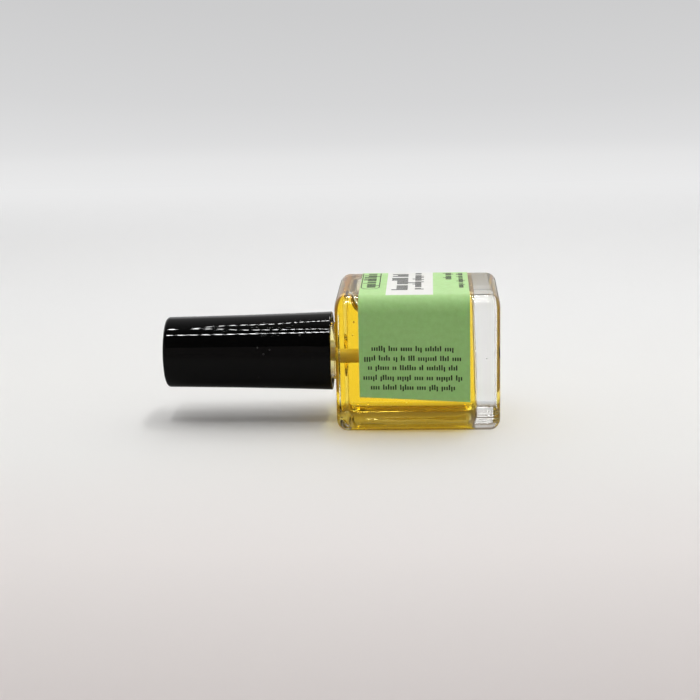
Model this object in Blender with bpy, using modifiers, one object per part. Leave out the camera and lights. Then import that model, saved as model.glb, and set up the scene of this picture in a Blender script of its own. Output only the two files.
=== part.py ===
"""Square cuticle oil bottle with a tall screw cap and a brush, lying on one flat side.

Every piece is drawn upright about the bottle's own axis: z runs from the base, at 0, up
to the closed end of the cap, +x is the front of the label and -y is the side seen from
in front. One parent empty then lays the whole bottle down, with its cap towards -X.
All lengths are in metres.
"""

import math

import bmesh
import bpy
from mathutils import Matrix, Vector

# Glass body
BODY_WIDTH = 0.0285
BODY_LENGTH = 0.0335
BODY_SIDE_RADIUS = 0.0033
BODY_SHOULDER_RADIUS = 0.0031
BODY_BASE_RADIUS = 0.0029
SIDE_WALL = 0.0020
BASE_WALL = 0.0052
SHOULDER_WALL = 0.0024
CAVITY_SIDE_RADIUS = 0.0032
CAVITY_RIM_RADIUS = 0.0030
PUSH_UP_DEPTH = 0.0006
PUSH_UP_EDGE_RADIUS = 0.0005
PUSH_UP_CORNER_RADIUS = 0.0030
BASE_RIM_WIDTH = 0.0018

# Glass neck
BORE_RADIUS = 0.0035
NECK_WALL = 0.00225
NECK_HEIGHT = 0.0128
THREAD_DEPTH = 0.0006
COLLAR_STEP = 0.0003
COLLAR_HEIGHT = 0.0021
COLLAR_FLARE = 0.0016
COLLAR_FLARE_HEIGHT = 0.0004
LIP_RADIUS = 0.0004
BORE_FLARE = 0.0016
BORE_FLARE_HEIGHT = 0.0018

# Clearances
SEAT_GAP = 0.0003
THREAD_CLEARANCE = 0.0001
PRESS_GAP = 0.0001
CAP_SHOULDER_GAP = 0.0013

# Cap
CAP_LENGTH = 0.0352
CAP_RIM_WALL = 0.00114
CAP_TAPER = 0.00085
CAP_UPPER_WALL = 0.0010
CAP_END_WALL = 0.0014
CAP_END_RADIUS = 0.0008
CAP_RIM_RADIUS = 0.00025
CAP_HOLLOW_DRAFT = 0.0002
CAP_FLARE_BEND_SHARE = 0.47
CAP_RIB_COUNT = 6
CAP_RIB_THICKNESS = 0.0008
CAP_RIB_ROOT = 0.0004

# Threaded inner cap
INNER_CAP_WALL = 0.0006
INNER_CAP_RECESS = 0.0012
INNER_CAP_CEILING = 0.0010
INNER_CAP_EDGE_RADIUS = 0.0002
SOCKET_WALL = 0.0009
SOCKET_END_WALL = 0.0008

# Brush wand
FLANGE_THICKNESS = 0.0010
FLANGE_LAND = 0.0019
HEAD_RADIUS = 0.0022
HEAD_LENGTH = 0.0064
HEAD_EDGE_RADIUS = 0.0004
PLUG_LENGTH = 0.0034
PLUG_TAPER = 0.0002
PLUG_CONE_LENGTH = 0.0014
STEM_WALL = 0.0004
TUFT_HOLE_DEPTH = 0.0042
WAND_EDGE_RADIUS = 0.0002

# Tuft and its anchor
TUFT_ROOT_RADIUS = 0.0010
TUFT_TIP_RADIUS = 0.0014
TUFT_FREE_LENGTH = 0.0120
TUFT_DOME = 0.0008
TUFT_FLOOR_CLEARANCE = 0.0013
TUFT_BACKING_DEPTH = 0.0008
STRAND_RADIUS = 0.000038
STRAND_EDGE_MARGIN = 0.00008
STRAND_COUNT = 300
STRAND_SIDES = 3
ANCHOR_HEIGHT = 0.0014
ANCHOR_THICKNESS = 0.0004
ANCHOR_EDGE_RADIUS = 0.00008

# Label
LABEL_THICKNESS = 0.00012
LABEL_GAP = 0.00010
LABEL_SHOULDER_MARGIN = 0.0049
LABEL_BASE_MARGIN = 0.0064
LABEL_END_MARGIN = 0.0068
LABEL_END_SLANT = 0.0006

# Air left above the oil
AIR_DEPTH = 0.0028
AIR_SIDE_MARGIN = 0.0012
AIR_LENGTH = 0.0165
AIR_CORNER_RADIUS = 0.0060
AIR_EDGE_RADIUS = 0.0024

# Facets
BODY_SEGMENTS = 6
CORNER_SEGMENTS = 3
CAP_FLARE_STATIONS = 8
WIDE_STEPS = 48
NARROW_STEPS = 32
BEVEL_SEGMENTS = 2

# Working tolerances
CUT_OVERRUN = 0.0010
MERGE_DISTANCE = 0.000001
LEVEL_TOLERANCE = 0.000001

HALF_WIDTH = BODY_WIDTH / 2
TOTAL_LENGTH = BODY_LENGTH + CAP_SHOULDER_GAP + CAP_LENGTH
UPRIGHT = Vector((0, 0, 1))

CAVITY_WIDTH = BODY_WIDTH - 2 * SIDE_WALL
CAVITY_FLOOR = BASE_WALL
CAVITY_ROOF = BODY_LENGTH - SHOULDER_WALL
CAVITY_LENGTH = CAVITY_ROOF - CAVITY_FLOOR

NECK_RADIUS = BORE_RADIUS + NECK_WALL
COLLAR_RADIUS = NECK_RADIUS + COLLAR_STEP
COLLAR_TOP = BODY_LENGTH + COLLAR_HEIGHT
MOUTH = BODY_LENGTH + NECK_HEIGHT

FLANGE_BOTTOM = MOUTH + SEAT_GAP
FLANGE_TOP = FLANGE_BOTTOM + FLANGE_THICKNESS
FLANGE_RADIUS = BORE_RADIUS + FLANGE_LAND
HEAD_TOP = FLANGE_TOP + HEAD_LENGTH
PLUG_RADIUS = BORE_RADIUS - SEAT_GAP
PLUG_BOTTOM = FLANGE_BOTTOM - PLUG_LENGTH

TUFT_TIP = CAVITY_FLOOR + TUFT_FLOOR_CLEARANCE
STEM_END = TUFT_TIP + TUFT_FREE_LENGTH
TUFT_HOLE_RADIUS = TUFT_ROOT_RADIUS + PRESS_GAP
TUFT_HOLE_TOP = STEM_END + TUFT_HOLE_DEPTH
STEM_RADIUS = TUFT_HOLE_RADIUS + STEM_WALL
ANCHOR_TOP = TUFT_HOLE_TOP - PRESS_GAP
ANCHOR_BOTTOM = ANCHOR_TOP - ANCHOR_HEIGHT
TUFT_ROOT = ANCHOR_BOTTOM - PRESS_GAP

THREAD_ROOT_RADIUS = NECK_RADIUS + THREAD_DEPTH + THREAD_CLEARANCE
INNER_CAP_RADIUS = THREAD_ROOT_RADIUS + INNER_CAP_WALL
CAP_BOTTOM = BODY_LENGTH + CAP_SHOULDER_GAP
CAP_TOP = CAP_BOTTOM + CAP_LENGTH
INNER_CAP_BOTTOM = CAP_BOTTOM + INNER_CAP_RECESS
CEILING_BOTTOM = FLANGE_TOP + SEAT_GAP
CEILING_TOP = CEILING_BOTTOM + INNER_CAP_CEILING
SOCKET_RADIUS = HEAD_RADIUS + PRESS_GAP
SOCKET_OUTER_RADIUS = SOCKET_RADIUS + SOCKET_WALL
SOCKET_ROOF = HEAD_TOP + SEAT_GAP
SOCKET_TOP = SOCKET_ROOF + SOCKET_END_WALL

CAP_SKIRT_BORE = INNER_CAP_RADIUS + PRESS_GAP
CAP_OPEN_RADIUS = CAP_SKIRT_BORE + CAP_RIM_WALL
CAP_CLOSED_RADIUS = CAP_OPEN_RADIUS - CAP_TAPER
CAP_LEDGE = CEILING_TOP + SEAT_GAP
CAP_HOLLOW_RADIUS = CAP_CLOSED_RADIUS - CAP_UPPER_WALL
CAP_HOLLOW_TOP = CAP_TOP - CAP_END_WALL
CAP_RIB_INNER_RADIUS = SOCKET_OUTER_RADIUS + SEAT_GAP

OIL_WIDTH = CAVITY_WIDTH - 2 * SEAT_GAP
OIL_BOTTOM = CAVITY_FLOOR + SEAT_GAP
OIL_ROOF = CAVITY_ROOF - SEAT_GAP
OIL_NECK_RADIUS = BORE_RADIUS - SEAT_GAP
OIL_NECK_TOP = PLUG_BOTTOM - PLUG_CONE_LENGTH - SEAT_GAP
BRUSH_CHANNEL_RADIUS = max(STEM_RADIUS, TUFT_TIP_RADIUS + STRAND_RADIUS) + SEAT_GAP


def clear_scene():
    """Remove whatever objects the file already holds."""
    for old in list(bpy.data.objects):
        bpy.data.objects.remove(old, do_unlink=True)


def new_collection(name):
    collection = bpy.data.collections.new(name)
    bpy.context.scene.collection.children.link(collection)
    return collection


def new_material(name, color, roughness, metallic=0.0, transmission=0.0, ior=1.5):
    material = bpy.data.materials.new(name)
    material.use_nodes = True
    shader = material.node_tree.nodes["Principled BSDF"]
    shader.inputs["Base Color"].default_value = (*color, 1.0)
    shader.inputs["Roughness"].default_value = roughness
    shader.inputs["Metallic"].default_value = metallic
    shader.inputs["Transmission Weight"].default_value = transmission
    shader.inputs["IOR"].default_value = ior
    material.diffuse_color = (*color, 1.0)
    return material


def place(name, mesh, collection, parent, material=None):
    """Put a mesh drawn about the bottle's axis under the empty that lays it down."""
    piece = bpy.data.objects.new(name, mesh)
    collection.objects.link(piece)
    piece.parent = parent
    if material:
        mesh.materials.append(material)
    return piece


def as_cutter(piece):
    piece.hide_render = True
    piece.display_type = "WIRE"
    return piece


def combine(piece, other, operation):
    """Join or cut a piece with another object that stays live."""
    step = piece.modifiers.new(f"{operation.lower()}_{other.name}", "BOOLEAN")
    step.operation = operation
    step.solver = "EXACT"
    step.object = other


def rounded_outline(corners):
    """Replace each corner (radius, height, fillet) of an open outline by a tangent arc."""
    points = []
    for index, (radius, height, fillet) in enumerate(corners):
        corner = Vector((radius, height))
        if not fillet:
            points.append(corner)
            continue
        before = (Vector(corners[index - 1][:2]) - corner).normalized()
        after = (Vector(corners[index + 1][:2]) - corner).normalized()
        half_angle = before.angle(after) / 2
        centre = corner + (before + after).normalized() * fillet / math.sin(half_angle)
        start = corner + before * fillet / math.tan(half_angle) - centre
        sweep = start.angle_signed(corner + after * fillet / math.tan(half_angle) - centre)
        for step in range(CORNER_SEGMENTS + 1):
            turn = Matrix.Rotation(-sweep * step / CORNER_SEGMENTS, 2)
            points.append(centre + turn @ start)
    return points


def turned_piece(name, outline, steps, collection, parent, material=None, closed=False):
    """Turn an outline of (radius, height) points once round the bottle's axis."""
    mesh = bpy.data.meshes.new(name)
    vertices = [(radius, 0, height) for radius, height in outline]
    edges = [(index, index + 1) for index in range(len(vertices) - 1)]
    if closed:
        edges.append((len(vertices) - 1, 0))
    mesh.from_pydata(vertices, edges, [])
    piece = place(name, mesh, collection, parent, material)
    screw = piece.modifiers.new("turn", "SCREW")
    screw.axis = "Z"
    screw.steps = steps
    screw.render_steps = steps
    screw.use_merge_vertices = True
    screw.merge_threshold = MERGE_DISTANCE
    screw.use_smooth_shade = True
    return piece


def rounded_block(width, depth, length, side_radius, low_radius, high_radius):
    """A block standing on z = 0 with rounded upright edges and rounded end rims."""
    block = bmesh.new()
    bmesh.ops.create_cube(block, size=1)
    bmesh.ops.scale(block, vec=(width, depth, length), verts=block.verts)
    bmesh.ops.translate(block, vec=UPRIGHT * length / 2, verts=block.verts)
    uprights = [edge for edge in block.edges
                if abs(edge.verts[0].co.z - edge.verts[1].co.z) > LEVEL_TOLERANCE]
    bevel_edges(block, uprights, side_radius)
    for level, radius in ((0, low_radius), (length, high_radius)):
        rim = [edge for edge in block.edges
               if all(abs(vertex.co.z - level) < LEVEL_TOLERANCE for vertex in edge.verts)]
        bevel_edges(block, rim, radius)
    return block


def bevel_edges(shape, edges, radius):
    bmesh.ops.bevel(shape, geom=edges, offset=radius, offset_type="OFFSET",
                    segments=BODY_SEGMENTS, profile=0.5, affect="EDGES", clamp_overlap=False)


def finished_mesh(name, shape):
    mesh = bpy.data.meshes.new(name)
    shape.to_mesh(mesh)
    shape.free()
    mesh.shade_smooth()
    mesh.set_sharp_from_angle(angle=math.radians(40))
    return mesh


def block_piece(name, block, height, collection, parent, material=None):
    bmesh.ops.translate(block, vec=UPRIGHT * height, verts=block.verts)
    return place(name, finished_mesh(name, block), collection, parent, material)


def make_bottle(parts, cutters, axis):
    """Square glass body with a round neck, its cavity, bore and shallow push-up."""
    glass = new_material("clear_glass", (0.93, 0.95, 0.93), 0.03, transmission=1.0)
    body = rounded_block(BODY_WIDTH, BODY_WIDTH, BODY_LENGTH,
                         BODY_SIDE_RADIUS, BODY_BASE_RADIUS, BODY_SHOULDER_RADIUS)
    bottle = block_piece("bottle", body, 0, parts, axis, glass)

    neck_foot = BODY_LENGTH - SHOULDER_WALL / 2
    flare_radius = COLLAR_RADIUS + COLLAR_FLARE
    neck = turned_piece("neck_blank", rounded_outline([
        (0, MOUTH, 0),
        (NECK_RADIUS, MOUTH, LIP_RADIUS),
        (NECK_RADIUS, COLLAR_TOP, 0),
        (COLLAR_RADIUS, COLLAR_TOP, COLLAR_STEP / 2),
        (COLLAR_RADIUS, BODY_LENGTH + COLLAR_FLARE_HEIGHT, COLLAR_FLARE_HEIGHT / 2),
        (flare_radius, BODY_LENGTH - COLLAR_FLARE_HEIGHT / 2, 0),
        (flare_radius, neck_foot, 0),
        (0, neck_foot, 0),
    ]), WIDE_STEPS, cutters, axis)
    combine(bottle, as_cutter(neck), "UNION")

    cavity = rounded_block(CAVITY_WIDTH, CAVITY_WIDTH, CAVITY_LENGTH,
                           CAVITY_SIDE_RADIUS, CAVITY_RIM_RADIUS, CAVITY_RIM_RADIUS)
    cavity = block_piece("cavity_cutter", cavity, CAVITY_FLOOR, cutters, axis)
    combine(bottle, as_cutter(cavity), "DIFFERENCE")

    bore = turned_piece("bore_cutter", rounded_outline([
        (0, MOUTH + CUT_OVERRUN, 0),
        (BORE_RADIUS + LIP_RADIUS, MOUTH + CUT_OVERRUN, 0),
        (BORE_RADIUS + LIP_RADIUS, MOUTH, 0),
        (BORE_RADIUS, MOUTH - LIP_RADIUS, 0),
        (BORE_RADIUS, CAVITY_ROOF + BORE_FLARE_HEIGHT, 0),
        (BORE_RADIUS + BORE_FLARE, CAVITY_ROOF - LIP_RADIUS, 0),
        (BORE_RADIUS + BORE_FLARE, CAVITY_ROOF - CUT_OVERRUN, 0),
        (0, CAVITY_ROOF - CUT_OVERRUN, 0),
    ]), WIDE_STEPS, cutters, axis)
    combine(bottle, as_cutter(bore), "DIFFERENCE")

    recess_width = BODY_WIDTH - 2 * (BODY_BASE_RADIUS + BASE_RIM_WIDTH)
    recess = rounded_block(recess_width, recess_width, 2 * PUSH_UP_DEPTH,
                           PUSH_UP_CORNER_RADIUS, PUSH_UP_EDGE_RADIUS, PUSH_UP_EDGE_RADIUS)
    recess = block_piece("push_up_cutter", recess, -PUSH_UP_DEPTH, cutters, axis)
    combine(bottle, as_cutter(recess), "DIFFERENCE")


def make_oil(parts, cutters, axis):
    """Oil that fills the cavity and the bore, round the brush and under the air."""
    amber = new_material("golden_oil", (0.93, 0.66, 0.08), 0.02, transmission=1.0, ior=1.47)
    oil = rounded_block(OIL_WIDTH, OIL_WIDTH, OIL_ROOF - OIL_BOTTOM,
                        CAVITY_SIDE_RADIUS - SEAT_GAP, CAVITY_RIM_RADIUS - SEAT_GAP,
                        CAVITY_RIM_RADIUS - SEAT_GAP)
    oil = block_piece("oil", oil, OIL_BOTTOM, parts, axis, amber)

    neck_oil = turned_piece("neck_oil_blank", [
        (0, OIL_NECK_TOP),
        (OIL_NECK_RADIUS, OIL_NECK_TOP),
        (OIL_NECK_RADIUS, OIL_ROOF - CUT_OVERRUN),
        (0, OIL_ROOF - CUT_OVERRUN),
    ], NARROW_STEPS, cutters, axis)
    combine(oil, as_cutter(neck_oil), "UNION")

    channel_end = TUFT_TIP - SEAT_GAP
    channel = turned_piece("brush_channel_cutter", [
        (0, OIL_NECK_TOP + CUT_OVERRUN),
        (BRUSH_CHANNEL_RADIUS, OIL_NECK_TOP + CUT_OVERRUN),
        (BRUSH_CHANNEL_RADIUS, channel_end),
        (0, channel_end),
    ], NARROW_STEPS, cutters, axis)
    combine(oil, as_cutter(channel), "DIFFERENCE")

    # The air lies under the upper side, against the shoulder, with a round edge.
    air_width = OIL_WIDTH - 2 * AIR_SIDE_MARGIN
    air = rounded_block(AIR_LENGTH, air_width, 2 * AIR_DEPTH,
                        AIR_CORNER_RADIUS, AIR_EDGE_RADIUS, AIR_EDGE_RADIUS)
    upper_side = Vector((OIL_WIDTH / 2 - AIR_DEPTH, 0, OIL_ROOF - AIR_SIDE_MARGIN - AIR_LENGTH / 2))
    lay_down = Matrix.Translation(upper_side) @ Matrix.Rotation(math.radians(90), 4, "Y")
    bmesh.ops.transform(air, matrix=lay_down, verts=air.verts)
    air = block_piece("air_cutter", air, 0, cutters, axis)
    combine(oil, as_cutter(air), "DIFFERENCE")


def label_path():
    """Outline of the label's inner face round the front and two sides, from -y to +y."""
    reach = HALF_WIDTH + LABEL_GAP
    bend = BODY_SIDE_RADIUS + LABEL_GAP
    centre = HALF_WIDTH - BODY_SIDE_RADIUS
    path = [(LABEL_END_MARGIN - HALF_WIDTH, -reach)]
    for side, start in ((-1, -90), (1, 0)):
        for step in range(BODY_SEGMENTS + 1):
            angle = math.radians(start + 90 * step / BODY_SEGMENTS)
            path.append((centre + bend * math.cos(angle), side * centre + bend * math.sin(angle)))
    path.append((LABEL_END_MARGIN - HALF_WIDTH, reach))
    return path


def make_label(parts, axis):
    """One strip of paper over three sides, its end on the near side cut on a slant."""
    paper = new_material("green_paper", (0.33, 0.60, 0.27), 0.75)
    path = label_path()
    strip = bmesh.new()
    rows = []
    for height, slant in ((LABEL_BASE_MARGIN, -LABEL_END_SLANT),
                          (BODY_LENGTH - LABEL_SHOULDER_MARGIN, LABEL_END_SLANT)):
        row = [strip.verts.new((x, y, height)) for x, y in path]
        row[0].co.x += slant
        rows.append(row)
    for index in range(len(path) - 1):
        strip.faces.new((rows[0][index], rows[0][index + 1],
                         rows[1][index + 1], rows[1][index]))
    label = place("label", finished_mesh("label", strip), parts, axis, paper)
    sheet = label.modifiers.new("paper", "SOLIDIFY")
    sheet.thickness = LABEL_THICKNESS
    sheet.offset = 1


def cap_radius(share):
    """Outer radius of the cap, from share 0 at its closed end to 1 at its open end."""
    bend = CAP_FLARE_BEND_SHARE
    return CAP_CLOSED_RADIUS + CAP_TAPER * ((1 - bend) * share + bend * share ** 2)


def make_overcap(parts, cutters, axis):
    """Tall glossy shell that widens in a slow curve, with ribs round the socket inside."""
    black = new_material("black_gloss", (0.006, 0.006, 0.007), 0.12)
    corners = [(0, CAP_TOP, 0), (CAP_CLOSED_RADIUS, CAP_TOP, CAP_END_RADIUS)]
    for station in range(1, CAP_FLARE_STATIONS):
        share = station / CAP_FLARE_STATIONS
        corners.append((cap_radius(share), CAP_TOP - CAP_LENGTH * share, 0))
    corners += [
        (CAP_OPEN_RADIUS, CAP_BOTTOM, CAP_RIM_RADIUS),
        (CAP_SKIRT_BORE, CAP_BOTTOM, CAP_RIM_RADIUS),
        (CAP_SKIRT_BORE, CAP_LEDGE, 0),
        (CAP_HOLLOW_RADIUS, CAP_LEDGE, 0),
        (CAP_HOLLOW_RADIUS - CAP_HOLLOW_DRAFT, CAP_HOLLOW_TOP, 0),
        (0, CAP_HOLLOW_TOP, 0),
    ]
    overcap = turned_piece("overcap", rounded_outline(corners), WIDE_STEPS, parts, axis, black)

    ribs = bmesh.new()
    rib_bottom = CAP_LEDGE + CAP_RIB_ROOT
    rib_top = CAP_HOLLOW_TOP + CAP_RIB_ROOT
    rib_outer_radius = CAP_HOLLOW_RADIUS + CAP_RIB_ROOT
    rib_depth = rib_outer_radius - CAP_RIB_INNER_RADIUS
    middle = Vector((CAP_RIB_INNER_RADIUS + rib_depth / 2, 0, (rib_bottom + rib_top) / 2))
    for number in range(CAP_RIB_COUNT):
        rib = bmesh.ops.create_cube(ribs, size=1)["verts"]
        bmesh.ops.scale(ribs, vec=(rib_depth, CAP_RIB_THICKNESS, rib_top - rib_bottom), verts=rib)
        bmesh.ops.translate(ribs, vec=middle, verts=rib)
        spin = Matrix.Rotation(math.tau * number / CAP_RIB_COUNT, 3, "Z")
        bmesh.ops.rotate(ribs, cent=(0, 0, 0), matrix=spin, verts=rib)
    ribs = place("rib_blanks", finished_mesh("rib_blanks", ribs), cutters, axis)
    combine(overcap, as_cutter(ribs), "UNION")


def make_inner_cap(parts, axis):
    """Cap that screws on the neck, with a socket above it for the wand's head."""
    plastic = new_material("inner_cap_black", (0.012, 0.012, 0.013), 0.35)
    edge = INNER_CAP_EDGE_RADIUS
    outline = rounded_outline([
        (0, SOCKET_TOP, 0),
        (SOCKET_OUTER_RADIUS, SOCKET_TOP, edge),
        (SOCKET_OUTER_RADIUS, CEILING_TOP, 0),
        (INNER_CAP_RADIUS, CEILING_TOP, edge),
        (INNER_CAP_RADIUS, INNER_CAP_BOTTOM, edge),
        (THREAD_ROOT_RADIUS, INNER_CAP_BOTTOM, edge),
        (THREAD_ROOT_RADIUS, CEILING_BOTTOM, 0),
        (SOCKET_RADIUS, CEILING_BOTTOM, edge),
        (SOCKET_RADIUS, SOCKET_ROOF, 0),
        (0, SOCKET_ROOF, 0),
    ])
    turned_piece("inner_cap", outline, WIDE_STEPS, parts, axis, plastic)


def make_wand(parts, axis):
    """Brush wand: head, sealing flange, tapered plug, stem and the hole for the tuft."""
    natural = new_material("natural_plastic", (0.86, 0.85, 0.78), 0.35)
    edge = WAND_EDGE_RADIUS
    plug_end_radius = PLUG_RADIUS - PLUG_TAPER
    outline = rounded_outline([
        (0, HEAD_TOP, 0),
        (HEAD_RADIUS, HEAD_TOP, HEAD_EDGE_RADIUS),
        (HEAD_RADIUS, FLANGE_TOP, 0),
        (FLANGE_RADIUS, FLANGE_TOP, edge),
        (FLANGE_RADIUS, FLANGE_BOTTOM, edge),
        (PLUG_RADIUS, FLANGE_BOTTOM, 0),
        (plug_end_radius, PLUG_BOTTOM, edge),
        (STEM_RADIUS, PLUG_BOTTOM - PLUG_CONE_LENGTH, 0),
        (STEM_RADIUS, STEM_END, edge),
        (TUFT_HOLE_RADIUS, STEM_END, 0),
        (TUFT_HOLE_RADIUS, TUFT_HOLE_TOP, 0),
        (0, TUFT_HOLE_TOP, 0),
    ])
    turned_piece("wand", outline, NARROW_STEPS, parts, axis, natural)


def strand_places():
    """Even spiral of root places, as a share of the tuft's radius and an angle."""
    golden_angle = math.pi * (3 - math.sqrt(5))
    for number in range(STRAND_COUNT):
        yield math.sqrt((number + 0.5) / STRAND_COUNT), golden_angle * number


def make_bristles(parts, cutters, axis):
    """Tuft of strands that fan out a little and end in a low dome, on one root slice."""
    nylon = new_material("nylon_bristles", (0.035, 0.033, 0.032), 0.45)
    backing_end = TUFT_ROOT - TUFT_BACKING_DEPTH
    bristles = turned_piece("bristles", [
        (0, TUFT_ROOT),
        (TUFT_ROOT_RADIUS, TUFT_ROOT),
        (TUFT_ROOT_RADIUS, backing_end),
        (0, backing_end),
    ], NARROW_STEPS, parts, axis, nylon)

    root_level = TUFT_ROOT - TUFT_BACKING_DEPTH / 2
    root_spread = TUFT_ROOT_RADIUS - STRAND_EDGE_MARGIN
    strands = bmesh.new()
    for share, angle in strand_places():
        outward = Vector((math.cos(angle), math.sin(angle), 0))
        sideways = UPRIGHT.cross(outward)
        rings = []
        for spread, level in ((root_spread, root_level),
                              (TUFT_TIP_RADIUS, TUFT_TIP + TUFT_DOME * share ** 2)):
            centre = outward * spread * share + UPRIGHT * level
            ring = []
            for side in range(STRAND_SIDES):
                turn = math.tau * side / STRAND_SIDES
                corner = outward * math.cos(turn) + sideways * math.sin(turn)
                ring.append(strands.verts.new(centre + corner * STRAND_RADIUS))
            rings.append(ring)
        root, tip = rings
        strands.faces.new(root)
        strands.faces.new(reversed(tip))
        for side in range(STRAND_SIDES):
            following = (side + 1) % STRAND_SIDES
            strands.faces.new((tip[side], tip[following], root[following], root[side]))
    strands = place("strand_blanks", finished_mesh("strand_blanks", strands), cutters, axis)
    combine(bristles, as_cutter(strands), "UNION")


def make_tuft_anchor(parts, axis):
    """Flat metal anchor that holds the folded tuft in the wand's hole."""
    steel = new_material("anchor_metal", (0.62, 0.62, 0.60), 0.35, metallic=1.0)
    half_thickness = ANCHOR_THICKNESS / 2
    anchor_width = 2 * (math.sqrt(TUFT_HOLE_RADIUS ** 2 - half_thickness ** 2) - PRESS_GAP)
    plate = bmesh.new()
    bmesh.ops.create_cube(plate, size=1)
    bmesh.ops.scale(plate, vec=(ANCHOR_THICKNESS, anchor_width, ANCHOR_HEIGHT), verts=plate.verts)
    middle = UPRIGHT * (ANCHOR_BOTTOM + ANCHOR_TOP) / 2
    bmesh.ops.translate(plate, vec=middle, verts=plate.verts)
    anchor = place("tuft_anchor", finished_mesh("tuft_anchor", plate), parts, axis, steel)
    bevel = anchor.modifiers.new("edges", "BEVEL")
    bevel.width = ANCHOR_EDGE_RADIUS
    bevel.segments = BEVEL_SEGMENTS


def main():
    clear_scene()
    parts = new_collection("cuticle_oil_bottle")
    cutters = new_collection("cutters")

    axis = bpy.data.objects.new("bottle_axis", None)
    axis.empty_display_size = BODY_WIDTH
    axis.location = (TOTAL_LENGTH / 2, 0, HALF_WIDTH)
    axis.rotation_euler = (0, math.radians(-90), 0)
    parts.objects.link(axis)

    make_bottle(parts, cutters, axis)
    make_oil(parts, cutters, axis)
    make_label(parts, axis)
    make_overcap(parts, cutters, axis)
    make_inner_cap(parts, axis)
    make_wand(parts, axis)
    make_bristles(parts, cutters, axis)
    make_tuft_anchor(parts, axis)


main()
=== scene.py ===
"""Looks of the square bottle of nail oil: glass, oil, label, cap and brush on a pale floor.

The pieces are drawn upright in millimetres about the bottle's own axis: x points out of the
label's front, y to the far side and z from the base, at 0, up to the closed end of the cap.
laid_down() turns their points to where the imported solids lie, in metres.
"""

import math

import bpy
import numpy as np
from mathutils import Matrix, Vector, noise


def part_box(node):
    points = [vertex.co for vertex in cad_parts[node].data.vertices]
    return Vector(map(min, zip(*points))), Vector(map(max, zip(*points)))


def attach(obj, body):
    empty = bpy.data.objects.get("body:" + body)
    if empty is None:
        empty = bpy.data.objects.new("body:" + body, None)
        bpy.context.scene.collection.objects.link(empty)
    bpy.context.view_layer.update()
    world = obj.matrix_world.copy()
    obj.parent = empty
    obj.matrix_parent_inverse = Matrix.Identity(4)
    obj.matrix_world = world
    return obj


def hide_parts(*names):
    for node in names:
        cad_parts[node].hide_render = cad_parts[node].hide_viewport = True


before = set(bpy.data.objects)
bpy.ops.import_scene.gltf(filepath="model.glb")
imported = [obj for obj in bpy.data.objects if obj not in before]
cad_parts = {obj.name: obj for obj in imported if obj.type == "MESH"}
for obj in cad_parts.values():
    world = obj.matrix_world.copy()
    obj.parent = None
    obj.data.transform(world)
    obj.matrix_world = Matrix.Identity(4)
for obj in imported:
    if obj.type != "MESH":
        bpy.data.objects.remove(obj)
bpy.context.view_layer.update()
MM = 0.001

# Where the solids lie
BOTTLE_LOW, BOTTLE_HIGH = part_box("bottle")
WAND_LOW, WAND_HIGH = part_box("wand")
BRISTLES_LOW, BRISTLES_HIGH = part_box("bristles")
OVERCAP_LOW, OVERCAP_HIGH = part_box("overcap")
INNER_CAP_LOW, INNER_CAP_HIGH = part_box("inner_cap")
LABEL_LOW, LABEL_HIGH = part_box("label")
BASE_PLACE = BOTTLE_HIGH.x
BASE_X = BASE_PLACE / MM
AXIS_HEIGHT = (BOTTLE_LOW.z + BOTTLE_HIGH.z) / 2


def height_of(world_x):
    """Upright height in millimetres of a place along the lying bottle."""
    return (BASE_PLACE - world_x) / MM


# Glass body
BODY_HALF = (BOTTLE_HIGH.z - BOTTLE_LOW.z) / 2 / MM
BODY_LENGTH = 33.5
SIDE_RADIUS = 3.3
SHOULDER_RADIUS = 2.3
BASE_RADIUS = 2.2
PUSH_UP_DEPTH = 0.6
PUSH_UP_CORNER = 3.0
PUSH_UP_FILLET = 0.5
PUSH_UP_DOME = 0.25
BASE_RIM_WIDTH = 2.5
BASE_RIM_EASE = 0.1

# Cavity of the glass
CAVITY_HALF = 12.9
CAVITY_FLOOR = 4.85
CAVITY_ROOF = 31.95
CAVITY_SIDE_RADIUS = 3.0
CAVITY_RIM_RADIUS = 2.0
CAVITY_FLOOR_RIM_RADIUS = 1.8
LOW_CORNER_DEPTH = 5.4
LOW_CORNER_LIFT = 25.0
LOW_CORNER_REACH = 14.0
FLOOR_DOME = 0.12
SHARP_CORNER = 0.2

# Neck, its collar and thread
MOUTH = height_of(BOTTLE_LOW.x)
BORE_RADIUS = 3.5
BORE_FLARE = 1.6
BORE_FLARE_HEIGHT = 1.8
NECK_RADIUS = 5.75
COLLAR_RADIUS = 6.05
COLLAR_TOP = BODY_LENGTH + 2.1
COLLAR_EASE = 0.15
COLLAR_FOOT = 1.25
COLLAR_FOOT_HEIGHT = 0.6
LIP_RADIUS = 0.4
THREAD_PITCH = 25.4 / 12
THREAD_DEPTH = 0.6
THREAD_WIDTH = 1.15
THREAD_CREST = 0.35
THREAD_TURNS = 2.0
THREAD_RUN_OUT = 0.16
NECK_THREAD_START = COLLAR_TOP + 2.1
NECK_RING_STEP = 0.12

# Moulding marks in the glass
INNER_WAVE_HEIGHT = 0.10
INNER_WAVE_LENGTH = 9.0
OUTER_WAVE_HEIGHT = 0.012
OUTER_WAVE_LENGTH = 14.0
SEAM_HEIGHT = 0.03
WAVES_FADE = 4.0
FLOOR_TILT = 0.030
FLOOR_TILT_REACH = 12.0

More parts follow.
